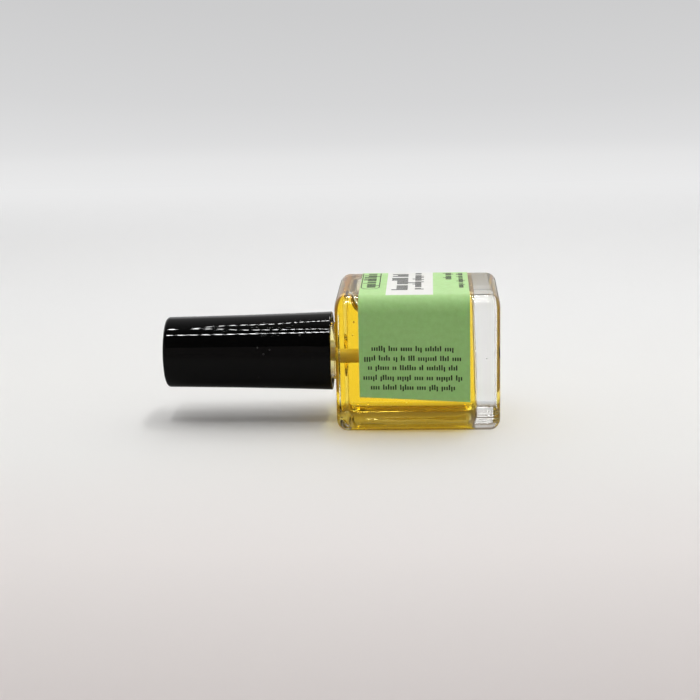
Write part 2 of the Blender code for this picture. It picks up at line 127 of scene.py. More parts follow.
# Oil and its air
WETTING_GAP = 0.01
PLUG_LENGTH = 3.4
PLUG_CONE_LENGTH = 1.4
SEAT_GAP = 0.3
OIL_TOP = MOUTH - PLUG_LENGTH - PLUG_CONE_LENGTH
AIR_LENGTH = 16.6
AIR_HALF_WIDTH = 11.2
AIR_DEPTH = 2.8
AIR_CORNER = 5.5
AIR_TOP_EASE = 1.8
AIR_LOW_EASE = 2.6
AIR_WIDEST_SHARE = 0.35
AIR_FILM = 0.12
AIR_ROOF_GAP = 1.0
AIR_TIGHTEST_CORNER = 1.0
AIR_FLAT_SHARES = (0.02, 0.265, 0.51, 0.755, 0.9804)
# Small beads of air: where they are and their radius
BEAD_PLACES = (
    (11.3, -6.2, 8.4, 0.22),
    (11.5, 2.7, 7.1, 0.16),
    (11.2, 7.4, 11.9, 0.19),
    (8.9, -11.4, 29.6, 0.20),
    (6.2, -11.6, 29.9, 0.14),
)

# Cap
CAP_END = height_of(OVERCAP_LOW.x)
CAP_RIM = height_of(OVERCAP_HIGH.x)
CAP_LENGTH = CAP_END - CAP_RIM
CAP_OPEN_RADIUS = (OVERCAP_HIGH.z - OVERCAP_LOW.z) / 2 / MM
CAP_TAPER = 0.85
CAP_CLOSED_RADIUS = CAP_OPEN_RADIUS - CAP_TAPER
CAP_FLARE_BEND_SHARE = 0.47
CAP_END_RADIUS = 0.8
CAP_END_DISH = 0.12
CAP_DISH_SHARES = (0.7, 0.4)
CAP_RIM_EASE = 0.25
CAP_SKIRT_BORE = 7.15
CAP_HOLLOW_RADIUS = 6.44
CAP_HOLLOW_FILLET = 0.3
CAP_LEDGE_FILLET = 0.1
CAP_END_WALL = 1.4
CAP_STATIONS = 40

# Threaded insert in the cap
INSERT_RADIUS = (INNER_CAP_HIGH.z - INNER_CAP_LOW.z) / 2 / MM
INSERT_RIM = height_of(INNER_CAP_HIGH.x)
INSERT_TOP = height_of(INNER_CAP_LOW.x)
INSERT_ROOT_RADIUS = 6.45
INSERT_THREAD_DEPTH = 0.5
INSERT_EASE = 0.2
INSERT_CEILING = MOUTH + SEAT_GAP + 1.0 + SEAT_GAP
INSERT_CEILING_TOP = INSERT_CEILING + 1.0
SOCKET_RADIUS = 2.3
SOCKET_OUTER_RADIUS = 3.2
SOCKET_END_WALL = 0.8

# Wand
FLANGE_BOTTOM = MOUTH + SEAT_GAP
FLANGE_TOP = FLANGE_BOTTOM + 1.0
FLANGE_RADIUS = 5.4
HEAD_TOP = height_of(WAND_LOW.x)
HEAD_RADIUS = 2.2
HEAD_EASE = 0.4
PLUG_RADIUS = BORE_RADIUS - SEAT_GAP
PLUG_TAPER = 0.2
PLUG_BEAD = 0.12
PLUG_BEAD_SHARES = (0.3, 0.7)
PLUG_BEAD_REACH = 0.0714
PLUG_NECK = 0.3
PLUG_CONE_FILLET = 0.6
STEM_RADIUS = 1.5
STEM_END = height_of(WAND_HIGH.x)
STEM_EASE = 0.2
TUFT_HOLE_RADIUS = 1.1
TUFT_HOLE_DEPTH = 4.2
TUFT_HOLE_FILLET = 0.15

# Tuft
TUFT_TIP = height_of(BRISTLES_HIGH.x)
TUFT_ROOT = height_of(BRISTLES_LOW.x)
TUFT_ROOT_RADIUS = 1.0
TUFT_TIP_RADIUS = 1.36
TUFT_DOME = 0.8
TUFT_RAGGED = 0.12
TUFT_CLUMP = 0.06
TUFT_CLUMP_COUNT = 5
TUFT_BELLY = 0.16
TUFT_DRAWN_IN = 0.1
TUFT_COUNT = 420
STRAND_RADIUS = 0.034
STRAND_SIDES = 5
STRAND_RINGS = 7
STRAND_STRAY = 0.05
STRAND_POINT = 0.45

# Label
LABEL_THICKNESS = 0.12
LABEL_SINK = 0.02
LABEL_OVERHANG = 0.3
LABEL_LOW_END = height_of(LABEL_HIGH.x) - LABEL_OVERHANG
LABEL_HIGH_END = height_of(LABEL_LOW.x)
LABEL_END_MARGIN = 7.3
LABEL_FAR_MARGIN = 3.4
LABEL_END_SLANT = 0.6
PANEL_END_TILT = 12
LABEL_CURL = 0.10
LABEL_CURL_REACH = 2.2
PANEL_LOW_END = BASE_X - 21.5
PANEL_HIGH_END = BASE_X - 11.9
PANEL_END_SLACK = 0.01
PANEL_EDGE_SLACK = 0.15
INK_THICKNESS = 0.012
INK_OVERLAP = 0.004

# Facets
CORNER_STEPS = 18
SIDE_SHARES = (0.012, 0.05, 0.11, 0.175, 0.24, 0.305, 0.37, 0.435, 0.5,
               0.565, 0.63, 0.695, 0.76, 0.825, 0.89, 0.95, 0.988)
RING_POINTS = 4 * (CORNER_STEPS + 1 + len(SIDE_SHARES))
TURN_STEPS = 128
WAND_TURN_STEPS = 72
EDGE_STEPS = 6
EASE_STEPS = 3
RIM_STEPS = 12
RIM_GUARD = 0.008
NEAR_SIDE_STEPS, FAR_SIDE_STEPS = 12, 16
LABEL_FRONT_STEPS, LABEL_BEND_STEPS = 14, 16
LABEL_ROWS = 30
FRAME_BEND_STEPS = 8
BEAD_COLUMNS, BEAD_ROWS = 16, 9
MIDDLE_RADIUS = 0.5

# Camera
CAMERA_PLACE = (21.46, -327.96, 94.42)
CAMERA_LENS = 82.15
CAMERA_YAW = -3.073
CAMERA_TILT = 13.706
CAMERA_ROLL = 1.235

# Floor and backdrop
FLOOR_REACH = 520
FLOOR_RADII = (20, 60, 120, 200, 300, 400, FLOOR_REACH)
FLOOR_TURN_STEPS = 96
COVE_RADIUS = 120
WALL_HEIGHT = 330


def laid_down(points):
    """Upright points in millimetres, turned to where the bottle lies, in metres."""
    points = np.asarray(points, float)
    return np.stack([
        BASE_PLACE - points[..., 2] * MM,
        points[..., 1] * MM,
        AXIS_HEIGHT + points[..., 0] * MM,
    ], axis=-1)


def mesh_object(name, vertices, faces, *materials):
    """A smooth mesh object from points in metres."""
    mesh = bpy.data.meshes.new(name)
    mesh.from_pydata(np.asarray(vertices).tolist(), [], faces)
    for material in materials:
        mesh.materials.append(material)
    mesh.shade_smooth()
    made = bpy.data.objects.new(name, mesh)
    bpy.context.scene.collection.objects.link(made)
    return made


def new_piece(name, vertices, faces, *materials, face_slots=None, sharp_angle=None):
    """A piece of the bottle from upright points in millimetres."""
    piece = mesh_object(name, laid_down(vertices), faces, *materials)
    if face_slots is not None:
        piece.data.polygons.foreach_set("material_index", face_slots)
    if sharp_angle is not None:
        piece.data.set_sharp_from_angle(angle=math.radians(sharp_angle))
    piece.data.update()
    return piece


def loft_faces(rows, columns):
    """Quads between rings of points, facing out where rings climb and run counter-clockwise."""
    faces = []
    for row in range(rows - 1):
        for column in range(columns):
            following = (column + 1) % columns
            low, high = row * columns, (row + 1) * columns
            faces.append((low + column, low + following, high + following, high + column))
    return faces


def shifted(faces, offset):
    """The same faces for vertices that are listed further on."""
    return [tuple(index + offset for index in face) for face in faces]


def closed_loft(rings, first_centre, last_centre):
    """Vertices and faces of rings closed by a fan at each end. Face rows follow the rings."""
    rows, columns = rings.shape[:2]
    vertices = np.concatenate([rings.reshape(-1, 3), [first_centre, last_centre]])
    first, last = rows * columns, rows * columns + 1
    top_row = (rows - 1) * columns
    faces = [(first, (column + 1) % columns, column) for column in range(columns)]
    faces += loft_faces(rows, columns)
    faces += [(last, top_row + column, top_row + (column + 1) % columns)
              for column in range(columns)]
    return vertices, faces


def closed_solid(rings):
    """Vertices and faces of rings closed in the middle of the first and the last."""
    return closed_loft(rings, rings[0].mean(axis=0), rings[-1].mean(axis=0))


def grid_normals(rings):
    """Outward unit normals of a lofted grid of rings, by differences between neighbours."""
    around = np.roll(rings, -1, axis=1) - np.roll(rings, 1, axis=1)
    along = np.gradient(rings, axis=0)
    normals = np.cross(around, along)
    return normals / np.maximum(np.linalg.norm(normals, axis=-1, keepdims=True), 1e-9)


def rounded_square(half, corner, other_half=None):
    """Counter-clockwise outline of a rounded square or rectangle, four alike quarters."""
    other_half = half if other_half is None else other_half
    halves = ((half, other_half), (other_half, half)) * 2
    outline = []
    for quarter, (reach, width) in enumerate(halves):
        turn = np.array([[0, -1], [1, 0]]) if quarter % 2 else np.eye(2, dtype=int)
        turn = turn * (-1 if quarter > 1 else 1)
        angles = np.linspace(0, math.pi / 2, CORNER_STEPS + 1)
        centre = np.array([reach - corner, width - corner])
        arc = centre + corner * np.column_stack([np.cos(angles), np.sin(angles)])
        side_end = np.array([corner - reach, width])
        side = [arc[-1] + share * (side_end - arc[-1]) for share in SIDE_SHARES]
        outline.append(np.vstack([arc, side]) @ turn.T)
    return np.vstack(outline)


def unit_circle(steps):
    """Counter-clockwise points of a unit circle."""
    angles = np.arange(steps) * math.tau / steps
    return np.column_stack([np.cos(angles), np.sin(angles)])


def even_circle():
    """Unit circle whose points stand opposite those of the rounded square."""
    index = np.arange(RING_POINTS) - CORNER_STEPS / 2
    angles = math.pi / 4 + index * math.tau / RING_POINTS
    return np.column_stack([np.cos(angles), np.sin(angles)])


def level_ring(outline, height):
    """An outline's points, all at one height."""
    return np.column_stack([outline, np.full(len(outline), height)])


def ring(half, height, corner=SHARP_CORNER, roundness=1.0):
    """One level ring: a circle at roundness 1, a rounded square at 0."""
    outline = half * even_circle() * roundness
    if roundness < 1:
        outline = outline + rounded_square(half, corner) * (1 - roundness)
    return level_ring(outline, height)


def rim_rings(half, corner, radius, level, rise):
    """Rings over a rounded rim, from the flat end face out to the upright side.

    level is the end face's height, and rise is -1 for a top rim or 1 for a bottom rim."""
    rings = []
    for angle in np.linspace(math.pi / 2, 0, RIM_STEPS + 1):
        inset = radius * (1 - math.cos(angle))
        height = level + rise * radius * (1 - math.sin(angle))
        rings.append(ring(half - inset, height, max(corner - inset, SHARP_CORNER), 0.0))
    return rings


def morphed(start, end, shares):
    """Rings between two rings, both left out."""
    return [start + (end - start) * share for share in shares]


def joined(rings, *runs):
    """Rings with further runs of rings, each run with its own in-between rings before it."""
    for shares, run in runs:
        rings = rings + morphed(rings[-1], run[0], shares) + run
    return rings


def domed_rings(middle, edge, shares, dome):
    """Level rings at shares of the way from the middle to the edge, raised toward the middle."""
    rings = morphed(middle, edge, shares)
    for share, level in zip(shares, rings):
        level[:, 2] = edge[0, 2] + dome * (1 - share ** 2)
    return rings


def eased_shares(count, guard=0.02):
    """Even shares between 0 and 1 with one more close to each end."""
    return [guard, *np.linspace(0, 1, count + 2)[1:-1], 1 - guard]


def eased(share):
    """A share that starts and ends gently."""
    return share * share * (3 - 2 * share)


def thread_height(angles, height, start, depth):
    """How far a right-hand thread stands up at these angles, at one height."""
    turn = angles / math.tau
    nearest = np.round((height - start) / THREAD_PITCH - turn) + turn
    distance = np.abs(height - start - nearest * THREAD_PITCH)
    flank = (THREAD_WIDTH - THREAD_CREST) / 2
    rise = np.clip((THREAD_WIDTH / 2 - distance) / flank, 0, 1)
    run_out = np.clip(np.minimum(nearest, THREAD_TURNS - nearest) / THREAD_RUN_OUT, 0, 1)
    return depth * eased(rise) * eased(run_out)


def threaded_rings(wall_radius, heights, start, depth):
    """Rings of a round wall whose thread stands out, or in where the depth is negative."""
    circle = even_circle()
    angles = np.arctan2(circle[:, 1], circle[:, 0])
    rings = []
    for height in heights:
        radius = wall_radius + thread_height(angles, height, start, depth)
        rings.append(level_ring(circle * radius[:, None], height))
    return rings


def quarter_arc(start, end, steps, leaves="level"):
    """(radius, height) points on a quarter ellipse that leaves its start level or upright."""
    start, end = np.array(start, float), np.array(end, float)
    points = []
    for angle in np.linspace(0, math.pi / 2, steps + 1):
        gone = (math.sin(angle), 1 - math.cos(angle))
        points.append(start + (end - start) * (gone if leaves == "level" else gone[::-1]))
    return points


def waves(points, length):
    """Smooth waves between about -1 and 1, the same at each run."""
    flat = points.reshape(-1, 3) / length
    values = [noise.noise(Vector(place)) for place in flat]
    return np.array(values).reshape(points.shape[:-1])


def neck_rings():
    """Collar, threaded neck and lip, from the shoulder up to the mouth."""
    collar = (
        ((COLLAR_RADIUS + COLLAR_FOOT, BODY_LENGTH),
         (COLLAR_RADIUS, BODY_LENGTH + COLLAR_FOOT_HEIGHT), EDGE_STEPS, "level"),
        ((COLLAR_RADIUS, COLLAR_TOP - COLLAR_EASE),
         (COLLAR_RADIUS - COLLAR_EASE, COLLAR_TOP), EASE_STEPS, "upright"),
        ((NECK_RADIUS + COLLAR_EASE, COLLAR_TOP),
         (NECK_RADIUS, COLLAR_TOP + COLLAR_EASE), EASE_STEPS, "level"),
    )
    lip_foot = MOUTH - LIP_RADIUS
    lip = quarter_arc((NECK_RADIUS, lip_foot), (NECK_RADIUS - LIP_RADIUS, MOUTH),
                      EDGE_STEPS, "upright")
    heights = np.arange(COLLAR_TOP + COLLAR_EASE + NECK_RING_STEP, lip_foot, NECK_RING_STEP)
    rings = [ring(*point) for arc in collar for point in quarter_arc(*arc)]
    rings += threaded_rings(NECK_RADIUS, heights, NECK_THREAD_START, THREAD_DEPTH)
    return rings + [ring(*point) for point in lip]


def outer_rings():
    """Outside of the glass, from the middle of the base up to the lip."""
    recess_half = BODY_HALF - BASE_RADIUS - BASE_RIM_WIDTH
    floor_half = recess_half - PUSH_UP_FILLET
    edge = ring(floor_half, PUSH_UP_DEPTH, PUSH_UP_CORNER - PUSH_UP_FILLET, 0.0)
    push_up = domed_rings(ring(MIDDLE_RADIUS, PUSH_UP_DEPTH), edge,
                          [0.0, *eased_shares(8), 1.0], PUSH_UP_DOME)
    fillet = quarter_arc((floor_half, PUSH_UP_DEPTH), (recess_half, BASE_RIM_EASE), 4)
    rim = quarter_arc((recess_half, BASE_RIM_EASE), (recess_half + BASE_RIM_EASE, 0),
                      EASE_STEPS, "upright")
    push_up += [ring(*point, PUSH_UP_CORNER, 0.0) for point in fillet[1:] + rim[1:]]
    base_rim = rim_rings(BODY_HALF, SIDE_RADIUS, BASE_RADIUS, 0, 1)
    shoulder = rim_rings(BODY_HALF, SIDE_RADIUS, SHOULDER_RADIUS, BODY_LENGTH, -1)[::-1]
    return joined(push_up, (eased_shares(3), base_rim), (eased_shares(16, RIM_GUARD), shoulder),
                  (eased_shares(8), neck_rings()))


def cavity_rings():
    """Inside of the glass, from the bore's lip down to the middle of the floor."""
    flare_top = CAVITY_ROOF + BORE_FLARE_HEIGHT
    lip = quarter_arc((BORE_RADIUS + LIP_RADIUS, MOUTH), (BORE_RADIUS, MOUTH - LIP_RADIUS),
                      EDGE_STEPS)
    flare = quarter_arc((BORE_RADIUS, flare_top), (BORE_RADIUS + BORE_FLARE, CAVITY_ROOF),
                        2 * EDGE_STEPS, "upright")
    shoulder = rim_rings(CAVITY_HALF, CAVITY_SIDE_RADIUS, CAVITY_RIM_RADIUS, CAVITY_ROOF, -1)
    base = rim_rings(
        CAVITY_HALF, CAVITY_SIDE_RADIUS, CAVITY_FLOOR_RIM_RADIUS, CAVITY_FLOOR, 1)[::-1]
    floor = domed_rings(ring(MIDDLE_RADIUS, CAVITY_FLOOR), base[-1],
                        [0.0, *eased_shares(8)], FLOOR_DOME)
    return joined([ring(*point) for point in lip],
                  (eased_shares(30), [ring(*point) for point in flare]),
                  (eased_shares(8), shoulder), (eased_shares(20, RIM_GUARD), base)) + floor[::-1]


def fades_above(heights, foot, reach):
    """1 at the foot's height and below, falling to 0 over the reach."""
    return np.clip(1 - (heights - foot) / reach, 0, 1)


def blown_cavity(rings):
    """The cavity's rings with the soft waves, tilted floor and raised lower corners of the glass."""
    rings = np.array(rings)
    waves_end = CAVITY_ROOF + BORE_FLARE_HEIGHT
    below_bore = fades_above(rings[..., 2], waves_end - WAVES_FADE, WAVES_FADE)
    lift = INNER_WAVE_HEIGHT * waves(rings, INNER_WAVE_LENGTH) * below_bore
    rings = rings + grid_normals(rings) * lift[..., None]
    toward_floor = fades_above(rings[..., 2], CAVITY_FLOOR, FLOOR_TILT_REACH) ** 2
    rings[..., 2] += FLOOR_TILT * rings[..., 0] * toward_floor
    into_corner = 1.0
    for place in (-rings[..., 0], np.abs(rings[..., 1])):
        into_corner = into_corner * np.clip(1 - (CAVITY_HALF - place) / LOW_CORNER_DEPTH, 0, 1)
    near_floor = fades_above(rings[..., 2], CAVITY_FLOOR, LOW_CORNER_REACH)
    rings[..., 2] += LOW_CORNER_LIFT * into_corner ** 4 * near_floor
    return rings


def moulded_outside(rings):
    """The outer rings with faint waves and the mould's two seams."""
    rings = np.array(rings)
    on_body = (rings[..., 2] > BASE_RADIUS / 2) & (rings[..., 2] < BODY_LENGTH)
    lift = OUTER_WAVE_HEIGHT * (waves(rings, OUTER_WAVE_LENGTH) - 1) * on_body
    on_neck = (rings[:, 0, 2] > COLLAR_TOP) & (rings[:, 0, 2] < MOUTH - LIP_RADIUS)
    on_side = on_body[:, 0] & (rings[:, 0, 2] > BASE_RADIUS)
    for seam in (CORNER_STEPS // 2, CORNER_STEPS // 2 + RING_POINTS // 2):
        lift[on_neck | on_side, seam] += SEAM_HEIGHT
    return rings + grid_normals(rings) * lift[..., None]


def make_glass(material):
    """Body, neck and cavity as one skin. The faces that the oil wets have their own glass."""
    outside = moulded_outside(outer_rings())
    inside = blown_cavity(cavity_rings())
    rings = np.concatenate([outside, inside])
    vertices, faces = closed_loft(
        rings, (0, 0, PUSH_UP_DEPTH + PUSH_UP_DOME), (0, 0, inside[-1, :, 2].mean()))
    heights = rings[:, 0, 2]
    wet = [0.0] * RING_POINTS
    for row in range(len(rings) - 1):
        wet += [float(row >= len(outside) and heights[row] <= OIL_TOP)] * RING_POINTS
    wet += [1.0] * RING_POINTS
    glass = new_piece("glass_body", vertices, faces, material)
    mask = glass.data.attributes.new("wetted", "FLOAT", "FACE")
    mask.data.foreach_set("value", np.array(wet, np.float32))
    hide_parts("bottle")
    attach(glass, "bottle")
    return inside


def air_rings():
    """The long flat bubble under the upper side, closed top and bottom, drawn about its middle."""
    widest = AIR_DEPTH * (1 - AIR_WIDEST_SHARE)
    low_edge = quarter_arc((AIR_LOW_EASE, 0), (0, widest), RIM_STEPS)
    high_edge = quarter_arc((0, widest), (AIR_TOP_EASE, AIR_DEPTH), RIM_STEPS, "upright")
    rings = []
    for inset, height in low_edge + high_edge[1:]:
        corner = max(AIR_CORNER - inset, AIR_TIGHTEST_CORNER)
        outline = rounded_square(AIR_LENGTH / 2 - inset, corner, AIR_HALF_WIDTH - inset)
        rings.append(level_ring(outline, height))
    low, high = ([end * (share, share, 1.0) for share in AIR_FLAT_SHARES]
                 for end in (rings[0], rings[-1]))
    return np.array(low + rings + high[::-1])


def placed_air():
    """The bubble turned so that its flat top lies under the glass behind the label's front."""
    rings = air_rings()
    middle = CAVITY_ROOF - AIR_ROOF_GAP - AIR_LENGTH / 2
    under_glass = CAVITY_HALF - AIR_FILM - AIR_DEPTH
    return np.stack([under_glass + rings[..., 2], rings[..., 1], middle - rings[..., 0]], axis=-1)


def bead_rings(centre, radius):
    """One small round air bead as rings that climb."""
    rings = []
    for tilt in np.radians(np.linspace(-80, 80, BEAD_ROWS)):
        outline = centre[:2] + radius * math.cos(tilt) * unit_circle(BEAD_COLUMNS)
        rings.append(level_ring(outline, centre[2] + radius * math.sin(tilt)))
    return np.array(rings)


def make_oil(cavity, material):
    """Oil that wets the cavity, round one flat bubble and a few beads of air."""
    wet = cavity[cavity[:, 0, 2] <= OIL_TOP]
    wet = (wet + grid_normals(wet) * WETTING_GAP)[::-1]
    vertices, faces = closed_solid(wet)
    free = np.zeros(len(vertices))
    free[-1] = 1
    for rings in [placed_air()] + [bead_rings(place[:3], place[3]) for place in BEAD_PLACES]:
        void_vertices, void_faces = closed_solid(rings[::-1])
        faces += shifted(void_faces, len(vertices))
        vertices = np.concatenate([vertices, void_vertices])
        free = np.concatenate([free, np.ones(len(void_vertices))])
    oil = new_piece("oil_fill", vertices, faces, material)
    mask = oil.data.attributes.new("free_surface", "FLOAT", "POINT")
    mask.data.foreach_set("value", free.astype(np.float32))
    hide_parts("oil")
    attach(oil, "bottle")


def turned(name, outline, material, steps=TURN_STEPS):
    """A closed turned piece from an outline of (radius, height) that starts and ends on the axis.

    The outline runs up the outside first, so that the faces point out."""
    circle = unit_circle(steps)
    rings = np.array([level_ring(circle * radius, height) for radius, height in outline[1:-1]])
    vertices, faces = closed_loft(rings, (0, 0, outline[0][1]), (0, 0, outline[-1][1]))
    return new_piece(name, vertices, faces, material)


def eased_outline(corners):
    """Outline points with each (radius, height, fillet) corner replaced by a tangent arc."""
    points = []
    for index, (radius, height, fillet) in enumerate(corners):
        corner = np.array([radius, height])
        if not fillet:
            points.append(corner)
            continue
        before = np.array(corners[index - 1][:2]) - corner
        after = np.array(corners[index + 1][:2]) - corner
        before, after = before / np.linalg.norm(before), after / np.linalg.norm(after)
        half_angle = math.acos(np.clip(before @ after, -1, 1)) / 2
        middle = (before + after) / np.linalg.norm(before + after)
        centre = corner + middle * fillet / math.sin(half_angle)
        start = corner + before * fillet / math.tan(half_angle) - centre
        end = corner + after * fillet / math.tan(half_angle) - centre
        for share in np.linspace(0, 1, EDGE_STEPS + 1):
            direction = start * math.sin((1 - share) * (math.pi / 2 - half_angle) * 2)
            direction = direction + end * math.sin(share * (math.pi / 2 - half_angle) * 2)
            points.append(centre + direction / np.linalg.norm(direction) * fillet)
    return points


def guarded(points, guard=0.12):
    """An outline with a point close to both ends of each long straight run."""
    result = [points[0]]
    for start, end in zip(points, points[1:]):
        length = np.linalg.norm(np.subtract(end, start))
        if length > 4 * guard:
            step = np.subtract(end, start) * guard / length
            result += [np.add(start, step), np.subtract(end, step)]
        result.append(end)
    return result


def cap_radius(share):
    """Outer radius of the cap, from share 0 at its closed end to 1 at its open end."""
    bend = CAP_FLARE_BEND_SHARE
    return CAP_CLOSED_RADIUS + CAP_TAPER * ((1 - bend) * share + bend * share ** 2)


def make_cap_shell(material):
    """Tall polished shell. Its outline runs from the hollow's roof out over the rim and up."""
    ledge = INSERT_CEILING_TOP + SEAT_GAP
    hollow_roof = CAP_END - CAP_END_WALL
    corners = [
        (0, hollow_roof, 0),
        (CAP_HOLLOW_RADIUS, hollow_roof, CAP_HOLLOW_FILLET),
        (CAP_HOLLOW_RADIUS, ledge, CAP_LEDGE_FILLET),
        (CAP_SKIRT_BORE, ledge, CAP_LEDGE_FILLET),
        (CAP_SKIRT_BORE, CAP_RIM, CAP_RIM_EASE),
        (CAP_OPEN_RADIUS, CAP_RIM, CAP_RIM_EASE),
    ]
    for station in range(CAP_STATIONS - 1, 0, -1):
        share = station / CAP_STATIONS
        corners.append((cap_radius(share), CAP_END - CAP_LENGTH * share, 0))
    across, down = CAP_DISH_SHARES
    corners += [
        (CAP_CLOSED_RADIUS, CAP_END, CAP_END_RADIUS),
        (CAP_CLOSED_RADIUS * across, CAP_END - CAP_END_DISH * down, 0),
        (0, CAP_END - CAP_END_DISH, 0),
    ]
    shell = turned("cap_shell", guarded(eased_outline(corners)), material)
    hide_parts("overcap")
    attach(shell, "cap")


def make_cap_insert(material):
    """Insert that screws on the neck, its thread standing in from the wall, with a socket."""
    socket_roof = INSERT_TOP - SOCKET_END_WALL
    inside = eased_outline([
        (0, socket_roof, 0),
        (SOCKET_RADIUS, socket_roof, INSERT_EASE),
        (SOCKET_RADIUS, INSERT_CEILING, INSERT_EASE),
        (INSERT_ROOT_RADIUS, INSERT_CEILING, INSERT_EASE),
        (INSERT_ROOT_RADIUS, INSERT_RIM, 0),
    ])
    outside = eased_outline([
        (INSERT_ROOT_RADIUS, INSERT_CEILING, 0),
        (INSERT_ROOT_RADIUS, INSERT_RIM, INSERT_EASE),
        (INSERT_RADIUS, INSERT_RIM, INSERT_EASE),
        (INSERT_RADIUS, INSERT_CEILING_TOP, INSERT_EASE),
        (SOCKET_OUTER_RADIUS, INSERT_CEILING_TOP, INSERT_EASE),
        (SOCKET_OUTER_RADIUS, INSERT_TOP, INSERT_EASE),
        (0, INSERT_TOP, 0),
    ])
    low, high = outside[1][1] + NECK_RING_STEP, inside[-2][1] - NECK_RING_STEP
    rings = [ring(*point) for point in inside[1:-1]]
    rings += threaded_rings(INSERT_ROOT_RADIUS, np.arange(high, low, -NECK_RING_STEP),
                            NECK_THREAD_START + THREAD_PITCH / 2, -INSERT_THREAD_DEPTH)
    rings += [ring(*point) for point in outside[1:-1]]
    vertices, faces = closed_loft(np.array(rings), (0, 0, socket_roof), (0, 0, INSERT_TOP))
    insert = new_piece("cap_insert", vertices, faces, material, sharp_angle=50)
    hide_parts("inner_cap")
    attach(insert, "cap")


def make_wand(material):
    """Head, sealing flange, plug with two sealing beads, stem and the hole for the tuft."""
    plug_low = FLANGE_BOTTOM - PLUG_LENGTH
    beads = []
    for share in np.linspace(0, 1, 25):
        from_bead = min(abs(share - place) for place in PLUG_BEAD_SHARES) / PLUG_BEAD_REACH
        swell = math.cos(math.pi / 2 * min(from_bead, 1))
        radius = PLUG_RADIUS - PLUG_TAPER * (1 - share) + PLUG_BEAD * swell
        beads.append((radius, plug_low + share * (PLUG_LENGTH - PLUG_NECK), 0))
    hole_roof = STEM_END + TUFT_HOLE_DEPTH
    outline = eased_outline([
        (0, hole_roof, 0),
        (TUFT_HOLE_RADIUS, hole_roof, TUFT_HOLE_FILLET),
        (TUFT_HOLE_RADIUS, STEM_END, STEM_EASE / 2),
        (STEM_RADIUS, STEM_END, STEM_EASE),
        (STEM_RADIUS, plug_low - PLUG_CONE_LENGTH, PLUG_CONE_FILLET),
        *beads,
        (FLANGE_RADIUS, FLANGE_BOTTOM, STEM_EASE),
        (FLANGE_RADIUS, FLANGE_TOP, STEM_EASE),
        (HEAD_RADIUS, FLANGE_TOP, STEM_EASE),
        (HEAD_RADIUS, HEAD_TOP, HEAD_EASE),
        (0, HEAD_TOP, 0),
    ])
    wand = turned("brush_wand", guarded(outline), material, steps=WAND_TURN_STEPS)
    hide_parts("wand")
    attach(wand, "brush")


def make_tuft(material):
    """Fine wet strands that fan out a little, drawn together in clumps, to a low dome."""
    draws = np.random.default_rng(11)
    golden_angle = math.pi * (3 - math.sqrt(5))
    vertices, faces = [], []
    circle = unit_circle(STRAND_SIDES)
    for number in range(TUFT_COUNT):
        share = math.sqrt((number + 0.5) / TUFT_COUNT)
        angle = golden_angle * number
        clump = TUFT_CLUMP * math.sin(TUFT_CLUMP_COUNT * angle) * share
        outward = np.array([math.cos(angle), math.sin(angle)])
        stray = draws.normal(0, STRAND_STRAY, 2)
        tip_height = TUFT_TIP + TUFT_DOME * share ** 2 + abs(draws.normal(0, TUFT_RAGGED))
        root = outward * (TUFT_ROOT_RADIUS - 2 * STRAND_RADIUS) * share
        tip = outward * (TUFT_TIP_RADIUS - clump - TUFT_DRAWN_IN) * share + stray * share
        rings = []
        for step in np.linspace(0, 1, STRAND_RINGS):
            height = TUFT_ROOT + (tip_height - TUFT_ROOT) * step
            inside_hole = np.clip((STEM_END - height) / (STEM_END - TUFT_TIP), 0, 1)
            belly = TUFT_BELLY * math.sin(math.pi * inside_hole) * share
            centre = root + (tip - root) * inside_hole + outward * belly
            thickness = STRAND_RADIUS * (1 if step < 1 else STRAND_POINT)
            rings.append(level_ring(centre + thickness * circle, height))
        strand_vertices, strand_faces = closed_solid(np.array(rings[::-1]))
        faces += shifted(strand_faces, len(vertices) * len(strand_vertices))
        vertices.append(strand_vertices)
    tuft = new_piece("brush_tuft", np.concatenate(vertices), faces, material)
    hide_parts("bristles")
    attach(tuft, "brush")


def label_path(reach):
    """Points (x, y) and directions out of the glass, from the near end to the far end."""
    bend = SIDE_RADIUS + reach - BODY_HALF
    centre = BODY_HALF - SIDE_RADIUS
    low_end = LABEL_END_MARGIN - BODY_HALF
    far_end = LABEL_FAR_MARGIN - BODY_HALF
    points, outward = [], []
    for share in np.linspace(0, 1, NEAR_SIDE_STEPS + 1)[:-1]:
        points.append((low_end + (centre - low_end) * share, -reach))
        outward.append((0, -1))
    tilts = sorted({*np.linspace(0, 90, LABEL_BEND_STEPS + 1), PANEL_END_TILT})
    for side in (-1, 1):
        for tilt in tilts[::side]:
            angle = math.radians(side * tilt)
            outward.append((math.cos(angle), math.sin(angle)))
            points.append((centre + bend * math.cos(angle), side * centre + bend * math.sin(angle)))
        if side < 0:
            for share in np.linspace(0, 1, LABEL_FRONT_STEPS + 1)[1:-1]:
                points.append((reach, -centre + 2 * centre * share))
                outward.append((1, 0))
    for share in np.linspace(0, 1, FAR_SIDE_STEPS + 1)[1:]:
        points.append((centre + (far_end - centre) * share, reach))
        outward.append((0, 1))
    return np.array(points), np.array(outward)


